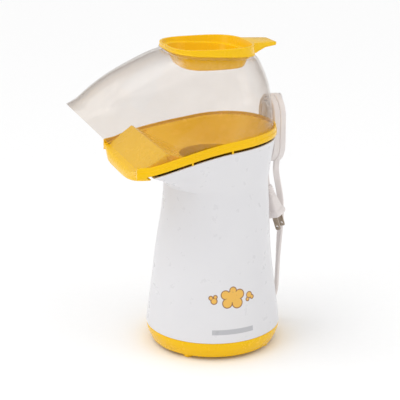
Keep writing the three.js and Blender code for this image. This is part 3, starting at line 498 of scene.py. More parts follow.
def metal(name, colour, dark, roughness=(0.22, 0.4), stretch=(1, 1, 12), scale=260, bump=0.00003):
    """Bare metal with drawn lines and slight tarnish."""
    n = Nodes(name)
    lines = n.noise(scale, 6, 0.65, stretch)
    tarnish = n.noise(60, 5, 0.6)
    colour_out = n.mix(n.ramp(tarnish, 0, 0.8), colour, dark)
    shader = n.add("ShaderNodeBsdfPrincipled", {
        "Base Color": colour_out,
        "Metallic": 1.0,
        "Roughness": n.ramp(lines, roughness[0], roughness[1]),
        "Normal": n.bump(lines, 0.6, bump),
    })
    return n.finished(shader)


YELLOW = srgb(250, 199, 6)
YELLOW_DARK = srgb(244, 190, 3)
YELLOW_TINT = (1.0, 0.86, 0.42, 1)
WHITE = srgb(228, 227, 229)
WHITE_DARK = srgb(224, 223, 226)
MATERIALS = {
    "yellow_plastic": plastic("yellow_moulded", YELLOW, YELLOW_DARK, (0.22, 0.3), 0.00001, tint=YELLOW_TINT),
    "white_plastic": plastic("white_moulded", WHITE, WHITE_DARK, (0.26, 0.34), 0.000006),
    "clear_plastic": clear_plastic(),
    "black_plastic": plastic("black_phenolic", srgb(34, 33, 34), srgb(24, 24, 26), (0.45, 0.6), grain=0.0001),
    "white_inner_plastic": plastic("white_inner", srgb(222, 221, 216), srgb(208, 206, 199), (0.4, 0.55),
                                   grain=0.0001),
    "chamber_aluminium": metal("spun_aluminium", (0.74, 0.75, 0.77, 1), (0.6, 0.59, 0.56, 1), (0.25, 0.4)),
    "steel": metal("zinc_steel", (0.62, 0.63, 0.65, 1), (0.5, 0.49, 0.46, 1), (0.25, 0.45)),
    "blade_brass": metal("blade_metal", (0.50, 0.42, 0.33, 1), (0.36, 0.29, 0.22, 1), (0.3, 0.45),
                         (1, 1, 8), 500),
    "nut_brass": metal("turned_brass", (0.72, 0.55, 0.28, 1), (0.5, 0.36, 0.18, 1)),
    "mica": plastic("mica_sheet", srgb(190, 172, 140), srgb(150, 128, 96), (0.3, 0.6), 0.0003, 500),
    "coil_wire": metal("resistance_wire", (0.42, 0.33, 0.28, 1), (0.25, 0.2, 0.22, 1), (0.35, 0.5)),
    "cord_pvc": plastic("cord_pvc", srgb(238, 231, 228), srgb(230, 221, 217), (0.36, 0.5), 0.00004, 900),
    "board": plastic("board_lacquer", srgb(46, 112, 62), srgb(34, 92, 50), (0.25, 0.4)),
    "black_wire": plastic("black_sleeve", srgb(30, 30, 32), srgb(20, 20, 22), (0.4, 0.5)),
    "white_wire": plastic("white_sleeve", srgb(228, 226, 220), srgb(215, 212, 205), (0.4, 0.5)),
}
PRINTED_WHITE = plastic("white_moulded_printed", WHITE, WHITE_DARK, (0.26, 0.34), 0.000006,
                        printed=housing_prints)
SLOT_OF = {entry["node"]: entry["material_slot"] for entry in frame["record"]["subparts"]}


def dress_cad_nodes():
    for node, cad in frame["nodes"].items():
        cad.data.materials.clear()
        cad.data.materials.append(MATERIALS[SLOT_OF[node]])


dress_cad_nodes()


# ---- cord
CORD_W = 7.5
CORD_T = 3.9
WEB_ANGLE = 14               # degrees of each core's outline that the web between them takes up
WEB_SHARE = 0.42             # thickness of the web, as a share of the core's
LEAD_ROUTE = [
    (-24, 84.2, 25.4), (-24, 87.6, 29.2), (-24, 90, 35), (-24, 91.2, 43), (-24, 91.8, 56), (-24, 92.4, 72),
    (-24, 93, 88), (-24, 93.8, 104), (-23.8, 94.6, 120), (-23.2, 94.8, 136), (-22.2, 93.6, 151),
    (-20.2, 90.8, 165), (-17, 87, 178), (-13, 83.6, 189), (-9.2, 81.6, 198),
]
PLUG_TOP = Vector((-5, 70.4, 176.5))
PLUG_DOWN = Vector((0.1, 0.27, -0.957)).normalized()
PLUG_TURN = 133
PLUG_BODY = 36.5
PLUG_RIBS = 4
PLUG_RIB_PITCH = 3
BLADE_PITCH = 12.7
BLADE_W = 6.3
BLADE_T = 1.5
BLADE_LENGTH = 17.4
BLADE_HOLE_R = 1.6
BLADE_HOLE_DROP = 13
PLUG_ROUTE = [
    (-41.2, 75.2, 213), (-40, 75, 206), (-36.4, 74.6, 199), (-30.4, 74, 194.6), (-23, 73, 192.2),
    (-15.4, 71.2, 189.6), (-9.5, 69.6, 185.5),
]
TURN_LOW = HANK_LOW + HANK_R          # centres of the hank's two arcs
TURN_HIGH = HANK_HIGH - HANK_R
LAYER_OUT = HANK_Y1 - CORD_W / 2 - 0.1
LAYER_IN = HANK_Y0 + CORD_W / 2 + 0.1
RADIUS_OUT = HANK_R - CORD_T / 2 - 0.1
RADIUS_IN = RADIUS_OUT - CORD_T - 0.15


def hank_turns():
    """Turns of the hank: up one side, over the top, down the other side and under, each at its own layer."""
    def on_arc(r, y, centre, angle):
        across, up = polar(r, angle)
        return HANK_X + across, y, centre + up

    layers = [(LAYER_OUT, RADIUS_IN), (LAYER_OUT, RADIUS_OUT), (LAYER_IN, RADIUS_IN), (LAYER_IN, RADIUS_OUT)]
    points = []
    for turn, (y, r) in enumerate(layers):
        following = layers[turn + 1] if turn + 1 < len(layers) else layers[-1]
        start = -60 if turn == 0 else -90
        points += [on_arc(r, y, TURN_LOW, angle) for angle in np.arange(start, 1, 15)]
        points.append((HANK_X + r, y, (TURN_LOW + TURN_HIGH) / 2))
        points += [on_arc(r, y, TURN_HIGH, angle) for angle in np.arange(0, 181, 15)]
        if turn == len(layers) - 1:
            points.append((HANK_X - r, y, (TURN_LOW + TURN_HIGH) / 2 + 4))
            points.append((HANK_X - r - 0.2, y, TURN_LOW + 1))
            continue
        for k in (0.33, 0.66):
            points.append((HANK_X - r, y, lerp(TURN_HIGH, TURN_LOW, k)))
        for k, angle in enumerate(np.arange(180, 256, 15)):
            share = smooth(k, 0, 5)
            points.append(on_arc(lerp(r, following[1], share), lerp(y, following[0], share), TURN_LOW, angle))
    return points


def catmull(points, spacing):
    """Points of a smooth curve through `points`, about `spacing` apart (centripetal Catmull-Rom)."""
    p = [np.array(q, float) for q in points]
    p = [2 * p[0] - p[1]] + p + [2 * p[-1] - p[-2]]
    out = []
    for i in range(1, len(p) - 2):
        a, b, c, d = p[i - 1], p[i], p[i + 1], p[i + 2]
        t0 = 0.0
        t1 = t0 + max(np.linalg.norm(b - a), 1e-6) ** 0.5
        t2 = t1 + max(np.linalg.norm(c - b), 1e-6) ** 0.5
        t3 = t2 + max(np.linalg.norm(d - c), 1e-6) ** 0.5
        steps = max(1, int(round(np.linalg.norm(c - b) / spacing)))
        for t in np.linspace(t1, t2, steps, endpoint=False):
            a1 = (t1 - t) / (t1 - t0) * a + (t - t0) / (t1 - t0) * b
            a2 = (t2 - t) / (t2 - t1) * b + (t - t1) / (t2 - t1) * c
            a3 = (t3 - t) / (t3 - t2) * c + (t - t2) / (t3 - t2) * d
            b1 = (t2 - t) / (t2 - t0) * a1 + (t - t0) / (t2 - t0) * a2
            b2 = (t3 - t) / (t3 - t1) * a2 + (t - t1) / (t3 - t1) * a3
            out.append((t2 - t) / (t2 - t1) * b1 + (t - t1) / (t2 - t1) * b2)
    out.append(p[-2])
    return np.array(out)


def cord_section():
    """Two round cores side by side with a web between: (across, thick) pairs round the outline."""
    core = CORD_T / 2
    centre = CORD_W / 2 - core
    points = []
    for side, start in ((1, -90), (-1, 90)):
        points += arc(side * centre, 0, core, start + WEB_ANGLE, start + 180 - WEB_ANGLE, 9)
        points.append((0, side * core * WEB_SHARE))
    return points


def flat_cord(name, route, width_hints):
    """Flat lead along a route; width_hints gives (millimetres along it, direction of the wide side)."""
    path = catmull(route, 2.2)
    tangent = np.gradient(path, axis=0)
    tangent /= np.linalg.norm(tangent, axis=1)[:, None]
    run = np.concatenate([[0], np.cumsum(np.linalg.norm(np.diff(path, axis=0), axis=1))])
    places = [h[0] for h in width_hints]
    wide = np.stack([np.interp(run, places, [h[1][k] for h in width_hints]) for k in range(3)], 1)
    wide -= (wide * tangent).sum(1)[:, None] * tangent
    wide /= np.linalg.norm(wide, axis=1)[:, None]
    thick = np.cross(tangent, wide)
    rings = [[path[i] + u * wide[i] + v * thick[i] for u, v in cord_section()] for i in range(len(path))]
    made = lofted(name, rings, False, 60)
    return made, path, float(run[-1])


def run_length(points):
    p = np.array(points, float)
    return float(np.linalg.norm(np.diff(p, axis=0), axis=1).sum())


def make_cord():
    turns = hank_turns()
    plug_ends = [tuple(PLUG_TOP - PLUG_DOWN * back) for back in (4.5, 0.6)]
    route = LEAD_ROUTE + turns + PLUG_ROUTE + plug_ends
    lead = run_length(LEAD_ROUTE)
    hank = lead + run_length(turns)
    total = run_length(route)
    plug_across = Vector((math.cos(math.radians(PLUG_TURN)), math.sin(math.radians(PLUG_TURN)), 0))
    hints = [
        (0, (1, 0, 0)), (0.30 * lead, (1, 0, 0)), (0.62 * lead, (0.55, 0.85, 0)), (0.88 * lead, (0.25, 1, 0)),
        (lead, (0, 1, 0)), (hank, (0, 1, 0)), (0.3 * hank + 0.7 * total, (0.2, 1, 0.1)),
        (total, tuple(plug_across)),
    ]
    made, path, length = flat_cord("power_cord", route, hints)
    finish_piece(made, "base", "cord_pvc", "cord_lead", "cord_hank", "plug_lead")
    return made, path, length


power_cord, cord_path, cord_length = make_cord()


# ---- plug
def placed_on_plug(made):
    """Turns a piece drawn pointing along -z from the plug relief's top into the plug's own place."""
    spin = Matrix.Rotation(math.radians(PLUG_TURN), 4, "Z")
    tilt = Vector((0, 0, -1)).rotation_difference(PLUG_DOWN).to_matrix().to_4x4()
    back = Matrix.Translation(Vector((0, -AXIS_Y * MM, 0)))
    place = Matrix.Translation(Vector(to_row(PLUG_TOP)))
    made.data.transform(place @ tilt @ spin @ back)
    return made


def super_ring(w, d, z, order):
    """Level ring between an ellipse (order 2) and a rectangle (high order)."""
    angles = np.arange(PLUG_POINTS) * 2 * math.pi / PLUG_POINTS
    points = []
    for a in angles:
        c, s = math.cos(a), math.sin(a)
        r = (abs(c / (w / 2)) ** order + abs(s / (d / 2)) ** order) ** (-1 / order)
        points.append((r * c, r * s, z))
    return points


def plug_rows():
    """Rows of the plug's moulding from the lead down: width, depth, z and squareness."""
    rows = [(8.6, 5.6, 0, 3), (9.3, 6.4, -0.6, 3)]
    for i in range(PLUG_RIBS):
        top = -1.8 - PLUG_RIB_PITCH * i
        w, d = 10.6 + i * 0.55, 7.8 + i * 0.35
        rows += [
            (w - 1.9, d - 1.7, top, 3.2), (w - 0.3, d - 0.3, top - 0.25, 3.2), (w, d, top - 0.8, 3.2),
            (w - 0.3, d - 0.3, top - 1.35, 3.2), (w - 1.7, d - 1.5, top - 1.7, 3.2),
        ]
    return rows + [
        (12.4, 8.9, -13.8, 3.6), (13.6, 9.6, -16, 3.8), (16.2, 11.2, -22, 4), (18.4, 12.6, -28, 4.2),
        (19.4, 13.1, -29.8, 4.4), (21, 14, -30.3, 4.6), (22.2, 14.8, -30.8, 4.8), (24.6, 16.4, -32.8, 5),
        (25, 16.7, -34.6, 5), (24.5, 16.3, -PLUG_BODY + 0.15, 5), (23.4, 15.4, -PLUG_BODY, 5),
    ]


def make_plug():
    body = lofted("plug_moulding", [super_ring(*row) for row in plug_rows()], False, 60)
    placed_on_plug(body)
    finish_piece(body, "base", "cord_pvc", "plug_body")
    pieces = [body]
    for index, side in enumerate((1, -1)):
        x = side * BLADE_PITCH / 2
        half = BLADE_W / 2
        low = -PLUG_BODY - BLADE_LENGTH
        plan = [(-half, -PLUG_BODY - GAP), (-half, low + 1.6), (-2.2, low + 0.25), (2.2, low + 0.25),
                (half, low + 1.6), (half, -PLUG_BODY - GAP)]
        blade = slab(f"plug_prong_{index + 1}", plan, x - BLADE_T / 2, x + BLADE_T / 2, "x", 0.25)
        hole_plan = arc(0, -PLUG_BODY - BLADE_HOLE_DROP, BLADE_HOLE_R, 0, 345, 24)
        hole = slab("hole", hole_plan, x - 2 * BLADE_T, x + 2 * BLADE_T, "x", 0)
        boolean(blade, [hole])
        placed_on_plug(blade)
        finish_piece(blade, "base", "blade_brass", f"plug_blade_{index + 1}")
        pieces.append(blade)
    return pieces


plug_pieces = make_plug()


# ---- shared outlines
BAND_ARCH = (243.3, 0.125, -0.00078)
FLARE_ENDS = (80, 112)       # distance before the axis over which the flare dies out again
COLUMN_POWER = 1.25


def band_low(y):
    """Lower edge of the tray's band: a shallow arch that falls towards the mouth."""
    return BAND_ARCH[0] + BAND_ARCH[1] * y + BAND_ARCH[2] * y * y


def band_top(y):
    return band_low(y) + BAND_H


def flare(y):
    return 1 + (RIM_FLARE / RIM_W) * smooth(-y, 0, -CREASE_Y) * (1 - smooth(-y, *FLARE_ENDS))


def rim_half_width(y):
    return RIM_W * flare(y) * (1 - abs(y / RIM_FRONT) ** RIM_ORDER) ** (1 / RIM_ORDER)


def ray_angles():
    """Even directions round the ring centre, with some moved to pass through the outlines' corners."""
    angles = np.arange(RAYS) * 2 * math.pi / RAYS
    corners = [(rim_half_width(CREASE_Y) - RIDGE_INSET, CREASE_Y), (rim_half_width(RIM_STOP) - 1, RIM_STOP)]
    for side in (1, -1):
        for x, y in corners:
            angle = math.atan2(y - RING_CENTRE_Y, side * x) % (2 * math.pi)
            angles[int(round(angle / (2 * math.pi) * RAYS)) % RAYS] = angle
    return angles


ANGLES = ray_angles()


FAR = 400.0                  # further out than any outline
HALVINGS = 44                # of the search along each ray
REAR_ORDER = 2.15
NO_STOP = -1e4


def outline(w, rear, front, order, flared=1.0, stop=NO_STOP):
    """Plan outline along the rays: a squarish oval that flares towards the mouth, cut straight at `stop`."""
    dx, dy = np.cos(ANGLES), np.sin(ANGLES)
    low, high = np.zeros(RAYS), np.full(RAYS, FAR)
    for _ in range(HALVINGS):
        r = (low + high) / 2
        x, y = r * dx, RING_CENTRE_Y + r * dy
        wide = np.abs(x) / (w * (1 + (flare(y) - 1) * flared))
        long = np.abs(y) / np.where(y > 0, rear, front)
        power = np.where(y > 0, REAR_ORDER, order)
        outside = (wide ** power + long ** power > 1) | (y < stop)
        high = np.where(outside, r, high)
        low = np.where(outside, low, r)
    return np.stack([low * dx, RING_CENTRE_Y + low * dy], 1)


def rim_outline(inset, stop=NO_STOP):
    return outline(RIM_W - inset, RIM_REAR - inset, RIM_FRONT, RIM_ORDER, 1.0, stop)


def lifted(flat, height):
    """Plan outline raised to a height, or to a function of y."""
    z = height(flat[:, 1]) if callable(height) else np.full(len(flat), float(height))
    return np.column_stack([flat, z])


def circle_towards(flat, r, z, shift=0.0):
    """Level circle whose points lie in the directions of another ring's points."""
    a = np.arctan2(flat[:, 1] - shift, flat[:, 0])
    return np.column_stack([r * np.cos(a), shift + r * np.sin(a), np.full(len(a), float(z))])


def blend(a, b, k, kz=None):
    """Ring between two rings, with its own share kz for the height."""
    mixed = a + (b - a) * k
    mixed[:, 2] = a[:, 2] + (b[:, 2] - a[:, 2]) * (k if kz is None else kz)
    return mixed


# ---- base pan
def pan_r(z):
    k = (z - PAN_BOTTOM) / (PAN_TOP - PAN_BOTTOM)
    return PAN_R_BOTTOM + (PAN_R_TOP - PAN_R_BOTTOM) * math.sin(k * math.pi / 2)


def column_r(z):
    return NECK_R + (HOUSING_R - NECK_R) * ((NECK_Z - z) / (NECK_Z - PAN_TOP)) ** COLUMN_POWER


PAN_FLOOR_TOP = 6.5
SPIGOT_H = 4
AIR_SLOTS = 10
AIR_SLOT_ROWS = ((14, 27, 3), (32, 46, 4.5))     # from radius, to radius, width
BOSS_R = 6
BOSS_TOP = 19
RECESS_R = 4.1
RECESS_TOP = 15
BORE_R = 2.2
RELIEF_X = -24
RELIEF_W = 10.4
RELIEF_T = 6
RELIEF_TILT = math.radians(37)
RELIEF_FROM = (63.6, 11)
RELIEF_LENGTH = 24


def relief_channel(name, grow, y0, y1):
    """Cutter for the way of the cord's gland out through the pan and the housing."""
    w, t = (RELIEF_W + grow) / 2, (RELIEF_T + grow) / 2
    made = block(name, -w, w, y0, y1, -t, t, 0)
    back = Matrix.Translation(Vector((0, -AXIS_Y * MM, 0)))
    place = Matrix.Translation(Vector(to_row((RELIEF_X, *RELIEF_FROM))))
    made.data.transform(place @ Matrix.Rotation(RELIEF_TILT, 4, "X") @ back)
    return made


def make_base_pan():
    spigot = column_r(PAN_TOP + 2) - WALL - GAP
    wall = [(pan_r(z), z) for z in np.linspace(PAN_BOTTOM + 0.3, PAN_TOP - 0.5, 16)]
    inner = [(pan_r(z) - WALL, z) for z in np.linspace(18, PAN_FLOOR_TOP, 6)]
    profile = [(0, PAN_BOTTOM), (60, PAN_BOTTOM), (PAN_R_BOTTOM - 1.8, PAN_BOTTOM),
               (PAN_R_BOTTOM - 0.5, PAN_BOTTOM + 0.08)] + wall
    profile += [(PAN_R_TOP - 0.15, PAN_TOP - 0.12), (PAN_R_TOP - 0.5, PAN_TOP), (spigot, PAN_TOP)]
    profile += [(spigot - 0.2, PAN_TOP + SPIGOT_H - 0.3), (spigot - 0.5, PAN_TOP + SPIGOT_H),
                (spigot - 2, PAN_TOP + SPIGOT_H)]
    profile += [(spigot - 2.2, PAN_TOP - 2)] + inner + [(0, PAN_FLOOR_TOP)]
    pan = turned("base_tray", profile, 160)
    cutters = []
    for i in range(AIR_SLOTS):
        for r0, r1, w in AIR_SLOT_ROWS:
            a = 2 * math.pi * (i + 0.5) / AIR_SLOTS
            c, s = math.cos(a), math.sin(a)
            ends = arc(r0 + w / 2, 0, w / 2, 90, 270, 7) + arc(r1 - w / 2, 0, w / 2, -90, 90, 7)
            plan = [(x * c - y * s, x * s + y * c) for x, y in ends]
            cutters.append(slab("slot", plan, 1, 9, "z", 0))
    for angle in BASE_SCREW_ANGLES:
        x, y = polar(SCREW_PITCH, angle)
        boolean(pan, [rod("boss", BOSS_R, PAN_BOTTOM + 0.5, BOSS_TOP, x, y)], "UNION")
        cutters.append(rod("recess", RECESS_R, PAN_BOTTOM - 1, RECESS_TOP, x, y, bevel=0))
        cutters.append(rod("bore", BORE_R, RECESS_TOP - 1, BOSS_TOP + 1, x, y, bevel=0))
    cutters.append(relief_channel("channel", 2 * GAP, -4, RELIEF_LENGTH + 10))
    boolean(pan, cutters)
    feet = []
    for i, angle in enumerate(FOOT_ANGLES):
        x, y = polar(FOOT_PITCH, angle)
        corners = [(0, 0), (FOOT_R - 1, 0, 0.8), (FOOT_R - 0.2, PAN_BOTTOM + 0.4), (0, PAN_BOTTOM + 0.4)]
        feet.append(turned(f"foot_{i}", rounded_profile(corners, 4), 40, centre=(x, y)))
    made = merged("base_tray_moulding", [pan] + feet)
    return finish_piece(made, "base", "yellow_plastic", "base_pan")


make_base_pan()


# ---- housing
HOUSING_SHARP = 32           # degrees between faces that still shade smooth


def housing_rings(inset):
    """Round column up to the neck, then a blend into the slanted oval rim under the tray."""
    rim = rim_outline(1 + inset, RIM_STOP + inset)
    rings = []
    for z in np.linspace(PAN_TOP + GAP, NECK_Z, 22):
        rings.append(circle_towards(rim, column_r(z) - inset, z, NECK_SHIFT * float(smooth(z, 100, 180))))
    neck = rings[-1]
    top = lifted(rim, lambda y: band_low(y) - BAND_GAP)
    for k in np.linspace(0, 1, 22)[1:]:
        rings.append(blend(neck, top, k ** 1.15, k))
    return rings


def make_housing():
    outer = housing_rings(0)
    inner = housing_rings(WALL)
    rim_mid = (outer[-1] + inner[-1]) / 2
    outer[-1] = outer[-1] - (0, 0, 0.4)
    inner[-1] = inner[-1] - (0, 0, 0.4)
    outer_top = lerp(outer[-1], rim_mid, 0.35) + (0, 0, 0.3)
    inner_top = lerp(inner[-1], rim_mid, 0.35) + (0, 0, 0.3)
    low_mid = lerp(outer[0], inner[0], 0.12)
    rings = [low_mid, outer[0] + (0, 0, 0.3), *outer[1:], outer_top, inner_top, *inner[::-1]]
    shell = lofted("housing_shell", rings, True, HOUSING_SHARP)
    boolean(shell, [relief_channel("notch", 2 * GAP, 4, RELIEF_LENGTH)], sharp=HOUSING_SHARP)
    return finish_piece(shell, "base", "white_plastic", "housing", material=PRINTED_WHITE)


make_housing()


# ---- cord wrap behind the housing
SPINE_HALF = 6
SPINE_FOOT_Y = 66.4
SPINE_FOOT_Z = (206, 245)
SADDLE_HALF = 52             # degrees each side of straight up or down
SADDLE_T = 2.6
PADDLE_ROOT = 9
PADDLE_R = 7
PADDLE_T = 2.1
WEB_HALF = 1.2


def make_cord_wrap():
    """Spine behind the housing with an upper and a lower hook, each a saddle with a paddle in front."""
    paddle_y0 = HANK_Y1 + GAP
    hook_r = HANK_R - HANK_THICK - GAP
    spine_x = HANK_X - SPINE_HALF, HANK_X + SPINE_HALF
    spine_y1 = HANK_Y0 - GAP
    web_reach = hook_r - 4.2, hook_r - 1.2
    parts = [
        block("spine", *spine_x, SPINE_Y0 + 0.1, spine_y1, SPINE_FOOT_Z[1] - 1, TURN_HIGH + hook_r - 1.2),
        block("spine_foot", *spine_x, SPINE_FOOT_Y, spine_y1, *SPINE_FOOT_Z),
    ]
    for up in (1, -1):
        centre = TURN_HIGH if up > 0 else TURN_LOW
        low, high = 90 * up - SADDLE_HALF, 90 * up + SADDLE_HALF
        saddle = arc(HANK_X, centre, hook_r, low, high, 22)
        saddle += arc(HANK_X, centre, hook_r - SADDLE_T, high, low, 22)
        parts.append(slab("saddle", saddle, SPINE_Y0 + 0.2, paddle_y0 + 1, "y", 0.5))
        root = centre + up * (hook_r - 4.5)
        end = centre + up * (HANK_R - PADDLE_R)
        tip = [(HANK_X + PADDLE_ROOT, root), (HANK_X + PADDLE_R, end)]
        tip += arc(HANK_X, end, PADDLE_R, 0, 180 * up, 18)[1:-1]
        tip += [(HANK_X - PADDLE_R, end), (HANK_X - PADDLE_ROOT, root)]
        parts.append(slab("paddle", tip, paddle_y0, paddle_y0 + PADDLE_T, "y", 0.6))
        web_z = sorted(centre + up * reach for reach in web_reach)
        parts.append(block("web", HANK_X - WEB_HALF, HANK_X + WEB_HALF, SPINE_Y0 + 0.4, paddle_y0 + 0.6,
                           *web_z, 0.3))
    made = merged("cord_hooks", parts)
    return finish_piece(made, "base", "white_plastic", "cord_wrap")


make_cord_wrap()


# ---- chute tray
def ramp_z(y):
    return lerp(CREASE_Z, FOLD_Z, (CREASE_Y - y) / (CREASE_Y - FOLD_Y))


def tray_dish():
    """Dish that funnels down to the hole over the chamber, with its ledge, channel and outer band."""
    def at(inset, height):
        front = CREASE_Y + inset - RIDGE_INSET
        flat = rim_outline(inset, front)
        z = height(flat[:, 1])
        if inset < RIDGE_INSET:
            z = np.where(flat[:, 1] < front + 0.05, np.minimum(z, band_top(flat[:, 1]) - 3.2), z)
        return np.column_stack([flat, z])

    def ledge_height(y):
        return np.where(y < CREASE_Y + 0.05, CREASE_Z, band_top(y) - 3.4)

    def below_top(inset, drop):
        return at(inset, lambda y: band_top(y) - drop)

    def above_low(inset, rise):
        return at(inset, lambda y: band_low(y) + rise)

    ledge = at(RIDGE_INSET, ledge_height)
    under = below_top(RIDGE_INSET - 1, 6.2)

    def hole(r, z):
        return circle_towards(ledge, r, z)

    steps = np.linspace(0, 1, 14)[1:-1]
    funnel = [blend(hole(HOLE_R + 1.4, HOLE_Z), ledge, k, k ** 1.12) for k in steps]
    back = [blend(hole(HOLE_R + 2.4, HOLE_Z - 2.6), under, k, k ** 1.12) for k in steps[::-1]]
    return lofted("dish", [
        hole(HOLE_R, COLLAR_Z), hole(HOLE_R, HOLE_Z - 1.6), hole(HOLE_R + 0.35, HOLE_Z - 0.7),
        hole(HOLE_R + 1.4, HOLE_Z), *funnel, ledge,
        below_top(6.2, 3.0), below_top(5, 2.9), below_top(2, 2.9), below_top(1.9, 0.3),
        below_top(1.5, 0), below_top(0.5, 0), below_top(0.1, 0.2), below_top(0, 0.6),
        below_top(0, 3.9), below_top(-0.45, 4.2), below_top(-0.6, 4.5), above_low(-0.6, 0.6),
        above_low(-0.4, 0.15), above_low(0, 0), above_low(1.6, 0), above_low(2, 2.5), under, *back,
        hole(HOLE_R + 2.2, HOLE_Z - 4.5), hole(HOLE_R + 2.2, COLLAR_Z),
    ], True, 30)


CHEEK_REAR = -58
RAMP_COLUMNS = 61
RAMP_PLATE = 2.2
TAB_PLACES = (-49, -2)


def tray_cheek(side):
    """Band that carries the tray's sides forward from the crease to the nose."""
    sections = []
    behind_crease = np.linspace(CHEEK_REAR, CREASE_Y + 0.2, 8)
    before_crease = np.linspace(CREASE_Y - 0.2, FOLD_Y - 5, 16)
    for y in (*behind_crease, *before_crease):
        w, low, seat = rim_half_width(y), band_low(y), band_top(y) - 2.9
        top = band_top(y) + 2.5 * float(smooth(-y, 94, 109))
        ramp = seat - 0.2 if y > CREASE_Y else ramp_z(y) - 1
        ramp_low = min(ramp - 1.2, low + 2.5)
        sections.append([(side * x, y, z) for x, z in (
            (w - 9.2, ramp), (w - 7, ramp), (w - 6.8, min(seat, ramp - 0.2)), (w - 2, seat),
            (w - 1.9, top - 0.3), (w - 1.5, top), (w - 0.5, top), (w - 0.1, top - 0.2), (w, top - 0.6),
            (w, top - 3.9), (w + 0.45, top - 4.2), (w + 0.6, top - 4.5),
            (w + 0.6, low + 0.6), (w + 0.4, low + 0.15), (w, low), (w - 1.6, low),
            (w - 2.2, low + 2), (w - 5, low + 2.4), (w - 9.2, ramp_low))])
    return lofted("cheek", sections, False, 30)


def tray_ramp():
    """Ramp plate, then the rounded nose that hangs down before the housing."""
    # Rows: y, z, then how the ends differ: stretch, extra half width, set-back and rise.
    top_side = [(CREASE_Y + 2.5, CREASE_Z - 1, 1, 0, 0, 0), (CREASE_Y, CREASE_Z, 1, 0, 0, 0),
                (-90, ramp_z(-90), 1, 0, 0, 0)]
    nose_side = [(FOLD_Y + 3, ramp_z(FOLD_Y + 3), 1, 0, 0, 0), (FOLD_Y, FOLD_Z, 1, 0, 0, 0),
                 (-110, 225.2, 1.03, 2.5, 0.5, 4), (-112.8, 221.3, 1.05, 3.5, 7, 5.5),
                 (-113.5, 217.5, 1.05, 4, 14, 5.5), (-113.2, 214.8, 1.045, 4, 16.5, 5),
                 (-112.4, 214, 1.04, 4, 17, 5)]
    under_side = [(-111, 213.9, 1.02, 4, 17, 5), (-110.4, 214.6, 1.01, 4, 17, 5),
                  (-111.1, 217.5, 1.02, 4, 13.5, 5.5), (-110.4, 219.9, 1.01, 3.5, 7, 5.5),
                  (-107.9, 222.3, 1, 2.5, 0.5, 4), (FOLD_Y + 0.6, FOLD_Z - RAMP_PLATE - 0.3, 1, 0, 0, 0),
                  (-90, ramp_z(-90) - RAMP_PLATE - 0.4, 1, 0, 0, 0),
                  (CREASE_Y + 1, CREASE_Z - RAMP_PLATE - 0.5, 1, 0, 0, 0),
                  (CREASE_Y + 3, CREASE_Z - RAMP_PLATE - 1.4, 1, 0, 0, 0)]
    rows = []
    u = np.linspace(-1, 1, RAMP_COLUMNS)
    for y, z, stretch, wider, back, rise in [*top_side, *catmull(nose_side, 1.0), *under_side]:
        half = rim_half_width(max(y, FOLD_Y)) - 7.6
        rows.append(np.column_stack([u * (half * stretch + wider), y + back * np.abs(u) ** 5,
                                     z + rise * np.abs(u) ** 4]))
    columns = [[row[i] for row in rows] for i in range(RAMP_COLUMNS)]
    return lofted("ramp", columns, False, 30)


def tray_tabs():
    """Small tabs that bridge the gap between the band and the housing's rim."""
    tabs = []
    for y in TAB_PLACES:
        low, high = band_low(y) - BAND_GAP + GAP, band_low(y) + 2
        for side in (1, -1):
            w = side * (rim_half_width(y) - 1.2)
            tabs.append(block("tab", w - 0.9, w + 0.9, y - 1, y + 1, low, high, 0.2))
    return tabs


def make_tray():
    made = merged("chute_dish", [tray_dish(), tray_cheek(1), tray_cheek(-1), tray_ramp(), *tray_tabs()])
    return finish_piece(made, "chute", "yellow_plastic", "chute_tray")


make_tray()


# ---- clear cover
# Rings above the foot: height, half width, reach to the rear, reach to the front, squareness.
COVER_ROWS = (
    (272, 67, 65.4, 184.5, 2.35), (295, 65.6, 62, 155.5, 2.15), (308, 64, 59.6, 137.5, 2.05),
    (320, 61.4, 56.4, 116.5, 2), (331, 57.4, 52.6, 93, 2.1), (339, 52.4, 49, 73.5, 2.4),
    (COVER_TOP, 46.5, 45.4, 60, 2.8),
)
COVER_STEPS = 7              # rings for each row, on a smooth curve


def crown(y):
    return COVER_TOP - COVER_TILT * (y + 60)


def cup_outline(w, l, height, shift=0.0):
    """Squarish oval round the cup's middle, raised to a height or to a function of y."""
    a = np.arange(CUP_POINTS) * 2 * math.pi / CUP_POINTS
    c, s = np.cos(a), np.sin(a)
    r = (np.abs(c / w) ** CUP_ORDER + np.abs(s / l) ** CUP_ORDER) ** (-1 / CUP_ORDER)
    return lifted(np.column_stack([r * c, CUP_MID_Y + shift + r * s]), height)


def cover_rings(inset):
    """Rings from the foot in the tray's channel up to the crown, smoothed along each ray."""
    foot = outline(RIM_W - 2.8 - inset, RIM_REAR - 2.6 - inset, RIM_FRONT, RIM_ORDER)
    rings = [lifted(foot, lambda y: band_top(y) - 2.3)]
    for z, w, rear, front, order in COVER_ROWS:
        flared = float(1 - smooth(z, 245, 320))
        flat = outline(w - inset, rear - inset, front - inset, order, flared)
        drop = inset * float(smooth(z, 300, COVER_TOP))
        tilt = COVER_TILT * float(smooth(z, 290, COVER_TOP - 2))
        rings.append(lifted(flat, lambda y: z - drop - tilt * (y + 60)))
    stack = np.array(rings)
    fine = []
    for i in range(len(stack) - 1):
        a, b = stack[max(i - 1, 0)], stack[i]
        c, d = stack[i + 1], stack[min(i + 2, len(stack) - 1)]
        for t in np.linspace(0, 1, COVER_STEPS, endpoint=False):
            fine.append(0.5 * (2 * b + (c - a) * t + (2 * a - 5 * b + 4 * c - d) * t ** 2
                               + (3 * b - 3 * c + d - a) * t ** 3))
    fine.append(stack[-1])
    return fine


